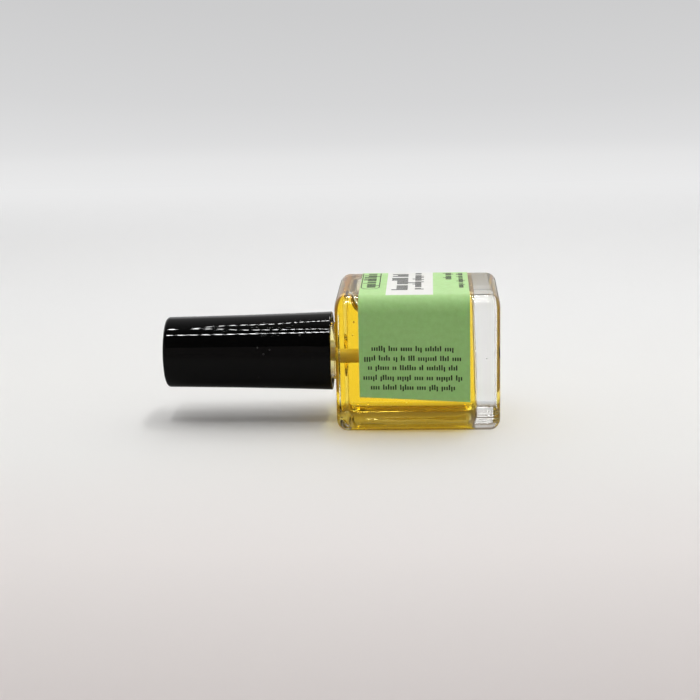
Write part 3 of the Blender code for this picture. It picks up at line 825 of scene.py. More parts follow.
def label_grid(reach, heights):
    """Rows of points over the label at one distance from the axis, with its slanted near end."""
    path, outward = label_path(reach)
    rows = []
    middle, half = (LABEL_LOW_END + LABEL_HIGH_END) / 2, (LABEL_HIGH_END - LABEL_LOW_END) / 2
    for height in heights:
        row = path.copy()
        side_run = BODY_HALF - SIDE_RADIUS - row[0, 0]
        along_side = np.clip((BODY_HALF - SIDE_RADIUS - row[:, 0]) / side_run, 0, 1)
        near = row[:, 1] < -BODY_HALF + SIDE_RADIUS
        row[:, 0] += LABEL_END_SLANT * (height - middle) / half * along_side * near
        from_corner = np.hypot(np.minimum(height - LABEL_LOW_END, LABEL_HIGH_END - height),
                               row[:, 0] - row[0, 0])
        lift = LABEL_CURL * np.clip(1 - from_corner / LABEL_CURL_REACH, 0, 1) ** 2
        row += outward * lift[:, None]
        rows.append(level_ring(row, height))
    return np.array(rows)


def make_label(green, white, panel):
    """One paper strip: green face, white back and cut edges, and a white panel on its front."""
    heights = np.unique(np.concatenate([
        np.linspace(LABEL_LOW_END, LABEL_HIGH_END, LABEL_ROWS), [PANEL_LOW_END, PANEL_HIGH_END]]))
    back = label_grid(BODY_HALF - LABEL_SINK, heights)
    face = label_grid(BODY_HALF - LABEL_SINK + LABEL_THICKNESS, heights)
    rows, columns = face.shape[:2]
    vertices = np.concatenate([back.reshape(-1, 3), face.reshape(-1, 3)])
    offset = rows * columns
    panel_edge = BODY_HALF - SIDE_RADIUS + SIDE_RADIUS * math.sin(math.radians(PANEL_END_TILT))
    faces, slots = [], []
    for row in range(rows - 1):
        for column in range(columns - 1):
            low, high = row * columns + column, (row + 1) * columns + column
            faces.append((low, high, high + 1, low + 1))
            slots.append(1)
            faces.append(tuple(offset + index for index in (low, low + 1, high + 1, high)))
            corners = face[row:row + 2, column:column + 2]
            in_panel = (corners[..., 2].min() > PANEL_LOW_END - PANEL_END_SLACK
                        and corners[..., 2].max() < PANEL_HIGH_END + PANEL_END_SLACK
                        and np.abs(corners[..., 1]).max() < panel_edge + PANEL_EDGE_SLACK
                        and corners[..., 0].min() > 0)
            slots.append(2 if in_panel else 0)
    rim = [(0, column) for column in range(columns)]
    rim += [(row, columns - 1) for row in range(1, rows)]
    rim += [(rows - 1, column) for column in range(columns - 2, -1, -1)]
    rim += [(row, 0) for row in range(rows - 2, 0, -1)]
    for (row, column), (next_row, next_column) in zip(rim, rim[1:] + rim[:1]):
        here, following = row * columns + column, next_row * columns + next_column
        faces.append((here, following, offset + following, offset + here))
        slots.append(1)
    label = new_piece(
        "label_wrap", vertices, faces, green, white, panel, face_slots=slots, sharp_angle=60)
    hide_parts("label")
    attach(label, "bottle")


def film_mark(low, high, side):
    """One closed film of ink on a flat side of the label, between two (across, height) corners.

    side is near, for marks on the near side, or front."""
    base = BODY_HALF - LABEL_SINK + LABEL_THICKNESS
    layers = (base - INK_OVERLAP, base + INK_THICKNESS)
    corners = ((low[0], low[1]), (high[0], low[1]), (high[0], high[1]), (low[0], high[1]))
    vertices = []
    for reach in layers:
        for across, height in corners:
            vertices.append((across, -reach, height) if side == "near" else (reach, across, height))
    faces = [(3, 2, 1, 0), (4, 5, 6, 7)]
    faces += [(i, (i + 1) % 4, 4 + (i + 1) % 4, 4 + i) for i in range(4)]
    if side == "near":
        faces = [face[::-1] for face in faces]
    return vertices, [face[::-1] for face in faces]


# Lines of marks on the near side: each line's middle across the label, in millimetres
# from the axis, and how long it is.
NEAR_LINES = ((3.58, 16.7), (1.57, 19.7), (-0.39, 19.2), (-2.48, 20.2), (-4.51, 17.5))
NEAR_LINE_MIDDLE = BASE_X - 17.25
NEAR_LINE_SLANT = 0.0165
NEAR_MARK_HEIGHT = 0.72
NEAR_STROKE = 0.27
# Lines of marks on the front: place of the line's foot along the bottle, mark height,
# where it starts and ends across, and the stroke.
FRONT_LINES = (
    (BASE_X - 9.6, 1.8, -4.4, 10.7, 0.36),
    (BASE_X - 16.3, 2.3, -8.0, 10.7, 0.66),
    (BASE_X - 19.1, 1.3, -6.6, 10.7, 0.5),
    (BASE_X - 25.4, 1.2, 3.4, 10.7, 0.36),
    (BASE_X - 27.8, 0.9, -5.7, 10.7, 0.34),
)
FRAME_BOX = ((-5.8, BASE_X - 10.5), (10.8, BASE_X - 6.55))
FRAME_CORNER = 2.0
FRAME_STROKE = 0.19
NEAR_SPACING, FRONT_SPACING = 1.8, 1.5
MARK_SHAPES = (0.0, 0.0, 0.0, 0.45, -0.4, 0.0, 0.5)


def word_marks(length, height, stroke, spacing, draws):
    """Upright strokes in word-like groups: (place, foot, top) along a line of this length."""
    pitch = stroke * spacing
    place, marks = 0.0, []
    while place < length - pitch:
        for _ in range(int(draws.integers(2, 9))):
            if place > length - stroke:
                break
            reach = MARK_SHAPES[int(draws.integers(len(MARK_SHAPES)))] * height
            marks.append((place, min(0, reach), height + max(0, reach)))
            place += pitch
        place += pitch * 1.1
    end = marks[-1][0] + stroke
    return [(place + (length - end) / 2, foot, top) for place, foot, top in marks]


def make_label_ink(material):
    """Plain strokes in rows on the near side and across the front."""
    draws = np.random.default_rng(5)
    boxes = []
    for middle, length in NEAR_LINES:
        start = NEAR_LINE_MIDDLE + length / 2
        marks = word_marks(length, NEAR_MARK_HEIGHT, NEAR_STROKE, NEAR_SPACING, draws)
        for place, low, high in marks:
            height = start - place
            foot = middle - NEAR_MARK_HEIGHT / 2 + NEAR_LINE_SLANT * (height - NEAR_LINE_MIDDLE)
            boxes.append(((foot + low, height - NEAR_STROKE), (foot + high, height), "near"))
    for foot, mark, start, end, stroke in FRONT_LINES:
        for place, low, high in word_marks(end - start, mark, stroke, FRONT_SPACING, draws):
            across = start + place
            boxes.append(((across, foot + low), (across + stroke, foot + high), "front"))
    vertices, faces = [], []
    for low, high, side in boxes:
        box_vertices, box_faces = film_mark(low, high, side)
        faces += shifted(box_faces, len(vertices))
        vertices += box_vertices
    ink = new_piece("label_ink", vertices, faces, material, sharp_angle=30)
    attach(ink, "bottle")


def make_label_frame(material):
    """Thin frame of ink on the front, rounded at its near end and open at its far end."""
    (near_end, low_height), (far_end, high_height) = FRAME_BOX
    half = (high_height - low_height) / 2
    middle = (high_height + low_height) / 2
    base = BODY_HALF - LABEL_SINK + LABEL_THICKNESS
    sections = []
    for inset, reach in ((0, -INK_OVERLAP), (0, INK_THICKNESS),
                         (FRAME_STROKE, INK_THICKNESS), (FRAME_STROKE, -INK_OVERLAP)):
        bend, side = FRAME_CORNER - inset, half - inset
        points = [(far_end, side)]
        for turn in np.linspace(0, math.pi / 2, FRAME_BEND_STEPS + 1):
            points.append((near_end + FRAME_CORNER - bend * math.sin(turn),
                           side - bend * (1 - math.cos(turn))))
        points += [(across, -height) for across, height in reversed(points)]
        sections.append([(base + reach, across, middle + height) for across, height in points])
    rings = np.array(sections).transpose(1, 0, 2)
    count = len(rings)
    faces = [face[::-1] for face in loft_faces(count, 4)]
    faces += [(0, 1, 2, 3), tuple(4 * count - 4 + index for index in (3, 2, 1, 0))]
    border = new_piece("label_frame", rings.reshape(-1, 3), faces, material, sharp_angle=30)
    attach(border, "bottle")


VECTOR, FLOAT = "NodeSocketVector", "NodeSocketFloat"
SPECK_REACH = 0.16
# Where the noise begins to show as scuffs and as patches of them, and where it shows in full
SCUFF_RANGE = (0.62, 0.74)
SCUFFED_RANGE = (0.45, 0.65)
# How far the shades of paper and of ink swing past the pair that they lie between
PAPER_SWING = (-0.6, 1.6)
INK_SWING = (-1.2, 1.3)


def feed(tree, source, target):
    """Link a socket, or a node's first output, into an input, or set the input's plain value."""
    if isinstance(source, bpy.types.Node):
        source = next(socket for socket in source.outputs if socket.enabled)
    if isinstance(source, bpy.types.NodeSocket):
        tree.links.new(source, target)
    else:
        target.default_value = source


def feed_all(tree, node, inputs):
    """Feed several inputs of one node."""
    for name, source in inputs.items():
        feed(tree, source, node.inputs[name])


def add_node(tree, kind, inputs=None, **settings):
    """A shader node with its settings, then its inputs from plain values, sockets or nodes."""
    node = tree.nodes.new(kind)
    for name, value in settings.items():
        setattr(node, name, value)
    feed_all(tree, node, inputs or {})
    return node


def calculate(tree, operation, *values):
    """A math node over plain values, sockets or nodes."""
    return add_node(tree, "ShaderNodeMath", dict(enumerate(values)), operation=operation)


def remap(tree, value, low, high, start=0.0, end=1.0, **settings):
    """Map a value that runs from start to end onto low to high."""
    return add_node(tree, "ShaderNodeMapRange", {
        "Value": value, "From Min": start, "From Max": end,
        "To Min": low, "To Max": high}, **settings)


def colour_between(tree, share, low, high):
    """Mix two colours by a share that changes over the surface."""
    return add_node(tree, "ShaderNodeMix", {
        "Factor": share, "A": (*low, 1), "B": (*high, 1)}, data_type="RGBA")


def noise_over(tree, place, scale, **inputs):
    """Even noise over a piece."""
    return add_node(tree, "ShaderNodeTexNoise", {"Vector": place, "Scale": scale, **inputs})


def bumped(tree, height, distance, strength=1.0, **inputs):
    """A normal from a height."""
    return add_node(tree, "ShaderNodeBump", {
        "Height": height, "Distance": distance, "Strength": strength, **inputs})


def piece_place(tree):
    """Places in the piece's own coordinates."""
    return add_node(tree, "ShaderNodeTexCoord").outputs["Object"]


def new_material(name, colour, **values):
    """A material with one Principled shader, its nodes ready to be added to."""
    material = bpy.data.materials.new(name)
    material.use_nodes = True
    shader = material.node_tree.nodes["Principled BSDF"]
    shader.inputs["Base Color"].default_value = (*colour, 1)
    for socket, value in values.items():
        shader.inputs[socket.replace("_", " ")].default_value = value
    material.diffuse_color = (*colour, 1)
    return material, material.node_tree, shader


def new_effect(name, outputs, **inputs):
    """An empty node group over the piece's places, with more inputs and their start values."""
    group = bpy.data.node_groups.new(name, "ShaderNodeTree")
    for socket, start in {"Place": (0.0, 0.0, 0.0), **inputs}.items():
        kind = FLOAT if isinstance(start, float) else VECTOR
        group.interface.new_socket(socket, in_out="INPUT", socket_type=kind).default_value = start
    for socket, kind in outputs.items():
        group.interface.new_socket(socket, in_out="OUTPUT", socket_type=kind)
    given, result = group.nodes.new("NodeGroupInput"), group.nodes.new("NodeGroupOutput")
    return group, given.outputs, result


def use_effect(tree, effect, **values):
    """Place an effect in a material over the piece's own coordinates."""
    return add_node(tree, "ShaderNodeGroup", {"Place": piece_place(tree), **values}, node_tree=effect)


def ripple_effect():
    """Soft unevenness of a moulded surface, as a normal."""
    group, given, result = new_effect(
        "moulded_ripple", {"Normal": VECTOR}, Size=300.0, Height=0.00001)
    wave = noise_over(group, given["Place"], given["Size"], Detail=1.0, Roughness=0.4)
    feed_all(group, result, {"Normal": bumped(group, wave, given["Height"])})
    return group


def dust_effect():
    """Sparse fine specks as a mask."""
    group, given, result = new_effect("fine_dust", {"Mask": FLOAT}, Size=1400.0, Amount=0.04)
    cells = add_node(group, "ShaderNodeTexVoronoi", {
        "Vector": given["Place"], "Scale": given["Size"]}, feature="F1")
    parts = add_node(group, "ShaderNodeSeparateColor", {"Color": cells.outputs["Color"]})
    chosen = calculate(group, "LESS_THAN", parts.outputs["Red"], given["Amount"])
    spot = calculate(group, "LESS_THAN", cells.outputs["Distance"], SPECK_REACH)
    feed_all(group, result, {"Mask": calculate(group, "MULTIPLY", chosen, spot)})
    return group


def hairline_effect():
    """Fine scuffs drawn out along the bottle, as a mask."""
    group, given, result = new_effect(
        "hairline_scuffs", {"Mask": FLOAT}, Stretch=(60.0, 5200.0, 5200.0), Amount=0.5)
    spread = add_node(group, "ShaderNodeVectorMath", {
        0: given["Place"], 1: given["Stretch"]}, operation="MULTIPLY")
    lines = noise_over(group, spread, 1.0, Detail=3.0, Roughness=0.6)
    patches = noise_over(group, given["Place"], 140.0, Detail=1.0)
    both = calculate(group, "MULTIPLY", remap(group, lines, 0, 1, *SCUFF_RANGE),
                     remap(group, patches, 0, 1, *SCUFFED_RANGE))
    feed_all(group, result, {"Mask": calculate(group, "MULTIPLY", both, given["Amount"])})
    return group


def fibre_effect():
    """Short paper fibres as a height, and the uneven take of the print as a shade."""
    group, given, result = new_effect("paper_fibre", {"Height": FLOAT, "Shade": FLOAT}, Size=5200.0)
    fibre = noise_over(group, given["Place"], given["Size"],
                       Detail=4.0, Roughness=0.65, Distortion=1.4)
    broad = noise_over(group, given["Place"], 900.0, Detail=3.0)
    mixed = calculate(group, "ADD", fibre, broad)
    feed_all(group, result, {"Height": fibre, "Shade": calculate(group, "MULTIPLY", mixed, 0.5)})
    return group


def let_lamps_through(tree, shader, tint, share=1.0):
    """A share of the light of lamps and soft bounces goes straight through, to light the inside."""
    path = add_node(tree, "ShaderNodeLightPath")
    either = calculate(tree, "MAXIMUM", path.outputs["Is Shadow Ray"], path.outputs["Is Diffuse Ray"])
    clear = add_node(tree, "ShaderNodeBsdfTransparent", {"Color": (*tint, 1)})
    mix = add_node(tree, "ShaderNodeMixShader", {
        "Fac": calculate(tree, "MULTIPLY", either, share), 1: shader, 2: clear})
    feed_all(tree, tree.nodes["Material Output"], {"Surface": mix})


def two_surfaces(tree, shader, other_ior, mask_name):
    """A clear surface that bends light otherwise where the piece's own mask says so."""
    other = add_node(tree, "ShaderNodeBsdfPrincipled", {
        "Base Color": (1, 1, 1, 1), "Roughness": 0.0, "IOR": other_ior, "Transmission Weight": 1.0})
    mask = add_node(tree, "ShaderNodeAttribute", attribute_name=mask_name)
    return add_node(tree, "ShaderNodeMixShader", {"Fac": mask.outputs["Fac"], 1: shader, 2: other})


def fill_with(tree, colour, density):
    """Even absorption through the inside of a piece."""
    depth = add_node(tree, "ShaderNodeVolumeAbsorption", {"Color": colour, "Density": density})
    feed_all(tree, tree.nodes["Material Output"], {"Volume": depth})


GLASS_IOR = 1.52
GLASS_TINT = (0.50, 0.51, 0.47, 1)
GLASS_DENSITY = 12.0
OIL_IOR = 1.47
OIL_TINT = (1.0, 0.91, 0.20, 1)
OIL_DENSITY = 170.0


def clear_glass(ripple, dust):
    """Flint glass with faint moulding ripple and specks of dust.

    Its inner faces hardly show where oil lies against them, so those bend light far less."""
    material, tree, shader = new_material(
        "clear_glass", (1, 1, 1), Roughness=0.0, IOR=GLASS_IOR, Transmission_Weight=1.0)
    specks = use_effect(tree, dust, Size=900.0, Amount=0.03)
    feed_all(tree, shader, {
        "Normal": use_effect(tree, ripple, Size=170.0, Height=0.000010),
        "Roughness": remap(tree, specks, 0.0, 0.35)})
    both = two_surfaces(tree, shader, GLASS_IOR / OIL_IOR, "wetted")
    let_lamps_through(tree, both, (0.97, 0.975, 0.97))
    fill_with(tree, GLASS_TINT, GLASS_DENSITY)
    return material


def golden_oil():
    """Clear golden oil. Its walls against the glass don't bend light, its free surface does."""
    material, tree, shader = new_material(
        "golden_oil", (1, 1, 1), Roughness=0.0, IOR=1.0, Transmission_Weight=1.0)
    let_lamps_through(tree, two_surfaces(tree, shader, OIL_IOR, "free_surface"), (1, 1, 1))
    fill_with(tree, OIL_TINT, OIL_DENSITY)
    return material


PAPER_LIGHT_REACH = 0.00014
# The light that the paper lets through is tinted golden: painted warm light on the sheet around the
# bottle and inside it
PAPER_LIGHT_PAINTED_GOLD = (1.0, 0.93, 0.68)
PAPER_LIGHT_SHARE = 0.68


def paper(name, fibre, shades, roughness):
    """Matt sticker paper between two close shades, thin enough to let some light through."""
    material, tree, shader = new_material(
        name, shades[0], Roughness=roughness, Subsurface_Weight=1.0,
        Subsurface_Radius=(1.0, 1.0, 1.0), Subsurface_Scale=PAPER_LIGHT_REACH)
    weave = use_effect(tree, fibre)
    shade = remap(tree, weave.outputs["Shade"], *PAPER_SWING)
    feed_all(tree, shader, {
        "Base Color": colour_between(tree, shade, *shades),
        "Normal": bumped(tree, weave.outputs["Height"], 0.00002, 0.5)})
    # The light let through is tinted golden: painted warm light around and inside the bottle
    let_lamps_through(tree, shader, PAPER_LIGHT_PAINTED_GOLD, PAPER_LIGHT_SHARE)
    return material


def printing_ink(fibre):
    """Flat dark ink that thins a little over the fibres."""
    material, tree, shader = new_material("printing_ink", (0.012, 0.014, 0.010), Roughness=0.55)
    shade = remap(tree, use_effect(tree, fibre).outputs["Shade"], *INK_SWING)
    feed_all(tree, shader, {
        "Base Color": colour_between(tree, shade, (0.010, 0.012, 0.009), (0.045, 0.055, 0.035))})
    return material


def black_gloss(ripple, scuffs, dust):
    """Polished black with an orange-peel ripple, hairline scuffs and fine dust."""
    black = (0.003, 0.003, 0.003)
    material, tree, shader = new_material("black_gloss_plastic", black, IOR=1.45)
    surface = use_effect(tree, ripple, Size=260.0, Height=0.0000012)
    lines = use_effect(tree, scuffs, Amount=1.0)
    specks = use_effect(tree, dust, Size=800.0, Amount=0.035)
    feed_all(tree, shader, {
        "Base Color": colour_between(tree, specks, black, (0.05, 0.05, 0.05)),
        "Roughness": remap(tree, calculate(tree, "MAXIMUM", lines, specks), 0.02, 0.30),
        "Normal": bumped(tree, lines, 0.000006, 0.4, Normal=surface)})
    return material


def moulded_plastic(name, ripple, shades, roughness, **values):
    """As-moulded plastic with a soft mottle between two shades."""
    material, tree, shader = new_material(name, shades[0], Roughness=roughness, **values)
    mottle = noise_over(tree, piece_place(tree), 600.0, Detail=3.0)
    feed_all(tree, shader, {
        "Base Color": colour_between(tree, mottle, *shades),
        "Normal": use_effect(tree, ripple, Size=1500.0, Height=0.000008)})
    return material


def wet_nylon():
    """Dark nylon strands with a wet sheen and lighter streaks."""
    material, tree, shader = new_material("black_nylon", (0.02, 0.018, 0.016), Roughness=0.28)
    streak = noise_over(tree, piece_place(tree), 3000.0, Detail=1.0)
    feed_all(tree, shader, {
        "Base Color": colour_between(tree, streak, (0.012, 0.011, 0.010), (0.05, 0.045, 0.04))})
    return material


def brushed_anchor(scuffs):
    """Cut steel strip with drawing lines."""
    steel = (0.62, 0.62, 0.60)
    material, tree, shader = new_material("anchor_metal", steel, Roughness=0.35, Metallic=1.0)
    lines = use_effect(tree, scuffs, Stretch=(3000.0, 200.0, 9000.0), Amount=1.0)
    feed_all(tree, shader, {
        "Base Color": colour_between(tree, lines, steel, (0.38, 0.37, 0.35)),
        "Roughness": remap(tree, lines, 0.28, 0.55)})
    return material


def mirror_share(tree):
    """The light path, and 1 for rays that come off a polished surface or 0 for the others."""
    path = add_node(tree, "ShaderNodeLightPath")
    not_through = calculate(tree, "SUBTRACT", 1.0, path.outputs["Is Transmission Ray"])
    return path, calculate(tree, "MULTIPLY", path.outputs["Is Glossy Ray"], not_through)


def colour_ramp(tree, value, stops):
    """A ramp through (place, colour) stops, over places in metres."""
    low, high = stops[0][0], stops[-1][0]
    ramp = add_node(tree, "ShaderNodeValToRGB", {"Fac": remap(tree, value, 0, 1, low, high)})
    elements = ramp.color_ramp.elements
    for index, (place, colour) in enumerate(stops):
        share = (place - low) / (high - low)
        stop = elements[index] if index < 2 else elements.new(share)
        stop.position = share
        stop.color = (*colour, 1)
    return ramp


def scaled(tree, colour, level):
    """A colour made brighter or darker."""
    return add_node(tree, "ShaderNodeVectorMath", {0: colour, "Scale": level}, operation="SCALE")


# Painted shade of the sheet by place, from before the bottle to behind it, then up the backdrop:
# the sheet darkens toward the front, and the backdrop glows, painted darker higher up
NEAR_PAINTED_SHADES = ((-0.1345, (0.655, 0.612, 0.60)), (-0.081, (0.80, 0.765, 0.75)),
               (-0.026, (0.855, 0.85, 0.835)), (0.029, (0.885, 0.88, 0.865)),
               (0.114, (0.90, 0.90, 0.895)), (0.347, (0.90, 0.90, 0.90)))
BACKDROP_PAINTED_GLOW = ((0.208, (0.85, 0.85, 0.85)), (0.332, (0.832, 0.832, 0.834)),
              (0.454, (0.785, 0.785, 0.788)), (0.527, (0.73, 0.73, 0.735)),
              (0.572, (0.70, 0.70, 0.705)), (0.609, (0.672, 0.672, 0.677)),
              (0.756, (0.61, 0.61, 0.615)), (1.54, (0.55, 0.55, 0.55)))
# What the room above the sheet keeps of those shades for rays that have passed through glass:
# painted shade, darker and warmer higher up
ROOM_PAINTED_DARK_THROUGH_GLASS = ((0.65, (1.0, 1.0, 1.0)), (0.80, (1.0, 0.985, 0.95)), (0.92, (0.74, 0.66, 0.55)),
               (1.10, (0.46, 0.375, 0.29)), (1.54, (0.34, 0.27, 0.20)))
# Painted shade and light of the sheet: darker where polished surfaces mirror it, brighter where it is
# seen through glass, and dimmer in the light that it bounces
SHEET_PAINTED_DARK_IN_MIRRORS = 0.17
SHEET_PAINTED_BRIGHT_THROUGH_GLASS = 1.11
SHEET_PAINTED_DIM_BOUNCE = 0.72
BACKDROP_START = (0.186, 0.362)


def floor_sheet():
    """Pale matt sheet under the bottle that turns into a glowing backdrop behind it, with painted
    shade and light.
    """
    material, tree, shader = new_material("pale_sheet", (0.8, 0.8, 0.8), Roughness=0.8)
    place = add_node(tree, "ShaderNodeNewGeometry").outputs["Position"]
    parts = add_node(tree, "ShaderNodeSeparateXYZ", {"Vector": place}).outputs
    path, mirrored = mirror_share(tree)
    bounced, through_glass = path.outputs["Is Diffuse Ray"], path.outputs["Is Transmission Ray"]
    # Painted shade: the sheet is darker in polished reflections and in the light that it bounces
    level = calculate(tree, "MULTIPLY", remap(tree, mirrored, 1.0, SHEET_PAINTED_DARK_IN_MIRRORS),
                      remap(tree, bounced, 1.0, SHEET_PAINTED_DIM_BOUNCE))
    # Painted shade: the sheet darkens toward the front
    near = scaled(tree, colour_ramp(tree, parts["Y"], NEAR_PAINTED_SHADES), level)
    # Distance behind the bottle plus twice the height, which runs on up the backdrop
    run = calculate(tree, "ADD", calculate(tree, "MULTIPLY", parts["Z"], 2.0), parts["Y"])
    # The backdrop glows, with painted shade: darker higher up, and darker and warmer through glass
    far = add_node(tree, "ShaderNodeMix", {
        "Factor": through_glass, "A": colour_ramp(tree, run, BACKDROP_PAINTED_GLOW),
        "B": colour_ramp(tree, run, ROOM_PAINTED_DARK_THROUGH_GLASS)}, data_type="RGBA", blend_type="MULTIPLY")
    # Painted light: the sheet and backdrop show brighter through glass
    seen = remap(tree, through_glass, 1.0, SHEET_PAINTED_BRIGHT_THROUGH_GLASS)
    matt = add_node(tree, "ShaderNodeBsdfDiffuse", {"Color": scaled(tree, near, seen)})
    glow = add_node(tree, "ShaderNodeEmission", {"Color": scaled(tree, far, seen)})
    behind = remap(tree, parts["Y"], 0, 1, *BACKDROP_START, interpolation_type="SMOOTHSTEP")
    share = calculate(tree, "MULTIPLY", behind, calculate(tree, "SUBTRACT", 1.0, bounced))
    mix = add_node(tree, "ShaderNodeMixShader", {"Fac": share, 1: matt, 2: glow})
    feed_all(tree, tree.nodes["Material Output"], {"Surface": mix})
    tree.nodes.remove(shader)
    return material


def make_floor():
    """A round sheet that lies flat under the bottle and curves up into a wall all round."""
    wall = FLOOR_REACH + COVE_RADIUS
    cove = quarter_arc((FLOOR_REACH, 0), (wall, COVE_RADIUS), RIM_STEPS)
    outline = [(radius, 0) for radius in FLOOR_RADII] + cove[1:] + [(wall, WALL_HEIGHT)]
    circle = unit_circle(FLOOR_TURN_STEPS)
    rings = [level_ring(radius * circle, height) for radius, height in outline]
    vertices = np.concatenate([*rings, [(0, 0, 0)]]) * MM
    faces = [face[::-1] for face in loft_faces(len(rings), FLOOR_TURN_STEPS)]
    faces += [(column, (column + 1) % FLOOR_TURN_STEPS, len(vertices) - 1)
              for column in range(FLOOR_TURN_STEPS)]
    sheet = mesh_object("floor_sheet", vertices, faces, floor_sheet())


def lamp_glow():
    """Bare light of the small lamps."""
    material, tree, shader = new_material("lamp_glow", (1, 1, 1))
    glow = add_node(tree, "ShaderNodeEmission", {"Strength": LAMP_STRENGTH})
    feed_all(tree, tree.nodes["Material Output"], {"Surface": glow})
    tree.nodes.remove(shader)
    return material


# Strength of the room's light: toward the front, overhead and toward the back, then from the
# front to the back as polished surfaces mirror it and as it shows through glass
ROOM_LIGHT = (0.16, 0.36, 1.55)
MIRRORED_ROOM = (0.0, 0.26)
ROOM_THROUGH_GLASS = (0.80, 0.19)
# Where the room turns from its front to what is overhead, from its mirrored front to its
# mirrored back, and through glass from its front to its warm back
ROOM_TURN = (-0.8, 0.0)
MIRRORED_TURN = (-0.2, 0.8)
ROOM_FRONT = (-0.45, -0.12)
ROOM_WARMTH = (1.0, 0.80, 0.58)
# Rows of small lamps over the bottle: how deep the row is and (x, y) along it in millimetres
LAMP_ROWS = (
    (24, ((-143, 22), (-138.5, 24))),
    (12, ((-132, 27), (-124, 120), (-112.6, 150), (-101.5, 150),
          (-94, 160), (-83, 214), (-69, 240), (-37, 347))),
    (12, ((-132, 27), (-125, 15), (-118, -12), (-112, -60), (-103.5, -75),
          (-91.5, -84), (-79, -92), (-73, -115), (-29.5, -190))),
    (22, ((-154, -222), (-77, -218), (165, -225))),
    (110, ((-38, 430), (-26.5, 440))),
    (110, ((-38, -140), (-26.5, -144))),
    (45, ((42, 40), (55, 36))),
    (60, ((43, 392), (57, 404))),
    (12, ((68, 237), (100, 132), (132, 27))),
    (12, ((28, -190), (72, -115), (132, 27))),
)
LAMP_HEIGHT = 600
# How long a tile and its gap are together, by the distance to the side, and the tile's share
LAMP_PITCHES = ((69, 98, 132), (1.75, 4.05, 5.7))
LAMP_TILE_SHARE = 0.52
LAMP_STRENGTH = 60.0
# Soft strips along the rows, which do the lighting: both ends (x, y) in millimetres, and watts
LAMP_STRIPS = (
    ((-38, 347), (-2, 457), 0.34),
    ((-120, -40), (-77, -115), 0.16),
    ((-77, -115), (-30, -190), 0.56),
    ((0, -222), (165, -225), 0.21),
    ((73, 237), (141, 27), 0.70),
    ((77, -115), (141, 27), 0.41),
    ((-330, 60), (-151, 23), 0.13),
)
STRIP_WIDTH = 16
STRIP_GAP = 5


def make_lamp_rows():
    """Rows of small bright tiles, which show as broken lines in the polished surfaces."""
    vertices, faces = [], []
    for depth, row in LAMP_ROWS:
        places = np.array(row, float)
        x = places[0, 0]
        while x < places[-1, 0]:
            pitch = float(np.interp(abs(x), *LAMP_PITCHES))
            first = len(vertices)
            tile_end = x + pitch * LAMP_TILE_SHARE
            for edge, side in ((x, -1), (x, 1), (tile_end, 1), (tile_end, -1)):
                y = np.interp(edge, places[:, 0], places[:, 1]) + side * depth / 2
                vertices.append((edge * MM, y * MM, LAMP_HEIGHT * MM))
            faces.append((first, first + 1, first + 2, first + 3))
            x += pitch
    rows = mesh_object("lamp_rows", vertices, faces, lamp_glow())
    rows.visible_diffuse = False
    rows.visible_transmission = False


def make_lamp_strips():
    """Long soft lamps that face down along the rows."""
    for number, (start, end, power) in enumerate(LAMP_STRIPS):
        start, end = np.array(start, float), np.array(end, float)
        lamp = bpy.data.lights.new(f"soft_strip_{number}", "AREA")
        lamp.shape = "RECTANGLE"
        lamp.size, lamp.size_y = float(np.linalg.norm(end - start)) * MM, STRIP_WIDTH * MM
        lamp.energy = power
        holder = bpy.data.objects.new(f"soft_strip_{number}", lamp)
        middle = (start + end) / 2
        holder.location = Vector((middle[0], middle[1], LAMP_HEIGHT + STRIP_GAP)) * MM
        holder.rotation_euler = (0, 0, math.atan2(*(end - start)[::-1]))
        holder.visible_glossy = False
        bpy.context.scene.collection.objects.link(holder)


def make_world():
    """All-round light, brighter behind. Polished surfaces mirror a darker room."""
    world = bpy.data.worlds.new("studio")
    bpy.context.scene.world = world
    world.use_nodes = True
    tree = world.node_tree
    place = add_node(tree, "ShaderNodeTexCoord").outputs["Generated"]
    back = add_node(tree, "ShaderNodeSeparateXYZ", {"Vector": place}).outputs["Y"]
    path, mirrored = mirror_share(tree)
    through_glass = path.outputs["Is Transmission Ray"]
    front = remap(tree, back, *ROOM_LIGHT[:2], *ROOM_TURN)
    level = remap(tree, back, front, ROOM_LIGHT[2])
    dark = remap(tree, back, *MIRRORED_ROOM, *MIRRORED_TURN)
    rear = remap(tree, back, 0, 1, *ROOM_FRONT)
    even = remap(tree, rear, *ROOM_THROUGH_GLASS)
    for share, other in ((through_glass, even), (mirrored, dark)):
        level = add_node(tree, "ShaderNodeMix", {
            "Factor": share, "A": level, "B": other}, data_type="FLOAT")
    warm = calculate(tree, "MULTIPLY", rear, through_glass)
    feed_all(tree, tree.nodes["Background"], {
        "Color": colour_between(tree, warm, (1, 1, 1), ROOM_WARMTH), "Strength": level})


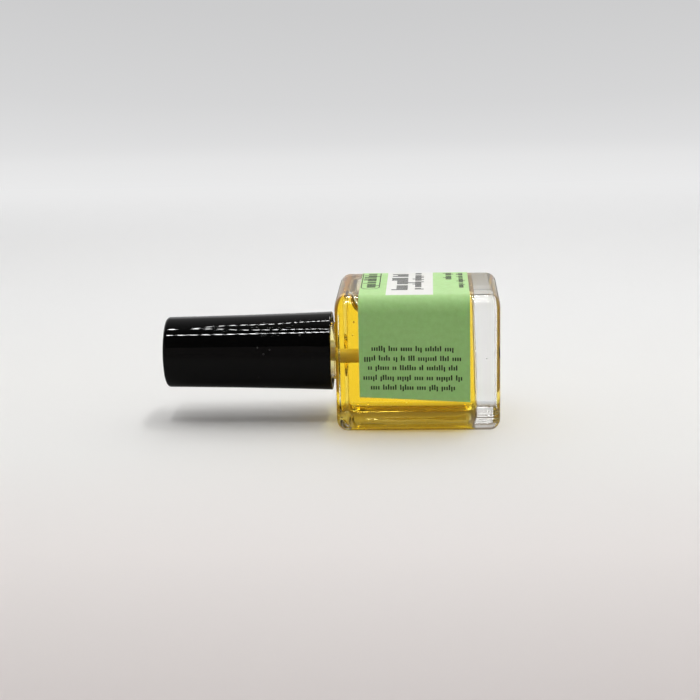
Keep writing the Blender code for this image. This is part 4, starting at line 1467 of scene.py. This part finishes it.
def make_camera():
    """The photo's camera, a little above the floor on the near side."""
    camera = bpy.data.cameras.new("photo_camera")
    camera.lens = CAMERA_LENS
    camera.clip_start, camera.clip_end = 0.01, 10
    holder = bpy.data.objects.new("photo_camera", camera)
    turn = Matrix.Rotation(math.radians(-CAMERA_YAW), 4, "Z")
    tilt = Matrix.Rotation(math.radians(90 - CAMERA_TILT), 4, "X")
    roll = Matrix.Rotation(math.radians(-CAMERA_ROLL), 4, "Z")
    holder.matrix_world = Matrix.Translation(Vector(CAMERA_PLACE) * MM) @ turn @ tilt @ roll
    bpy.context.scene.collection.objects.link(holder)
    bpy.context.scene.camera = holder


# Two close shades of each mottled surface
LABEL_GREENS = ((0.43, 0.70, 0.27), (0.52, 0.81, 0.36))
PAPER_WHITES = ((0.80, 0.79, 0.74), (0.86, 0.85, 0.80))
PANEL_WHITES = ((0.84, 0.84, 0.80), (0.92, 0.92, 0.89))
MATT_BLACKS = ((0.010, 0.010, 0.011), (0.018, 0.018, 0.019))
MILKY_WHITES = ((0.86, 0.76, 0.56), (0.93, 0.84, 0.66))


def make_pieces():
    """Every drawn piece with its material, and the carried anchor's own."""
    ripple, dust = ripple_effect(), dust_effect()
    scuffs, fibre = hairline_effect(), fibre_effect()
    ink = printing_ink(fibre)
    cavity = make_glass(clear_glass(ripple, dust))
    make_oil(cavity, golden_oil())
    make_label(
        paper("green_paper", fibre, LABEL_GREENS, 0.72),
        paper("paper_back", fibre, PAPER_WHITES, 0.8),
        paper("white_panel", fibre, PANEL_WHITES, 0.6))
    make_label_ink(ink)
    make_label_frame(ink)
    make_cap_shell(black_gloss(ripple, scuffs, dust))
    make_cap_insert(moulded_plastic("black_matte_plastic", ripple, MATT_BLACKS, 0.38))
    make_wand(moulded_plastic(
        "natural_plastic", ripple, MILKY_WHITES, 0.35, Subsurface_Weight=0.6,
        Subsurface_Radius=(0.0012, 0.0010, 0.0007), Subsurface_Scale=1.0))
    make_tuft(wet_nylon())
    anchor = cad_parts["tuft_anchor"]
    anchor.data.materials.clear()
    anchor.data.materials.append(brushed_anchor(scuffs))


def make_scene():
    """All pieces on their floor, with the lamps, the room and the camera."""
    scene = bpy.context.scene
    scene.view_settings.view_transform = "Standard"
    scene.cycles.max_bounces = 24
    scene.cycles.transmission_bounces = 24
    scene.cycles.transparent_max_bounces = 32
    make_pieces()
    make_floor()
    make_lamp_rows()
    make_world()
    make_lamp_strips()
    make_camera()


make_scene()
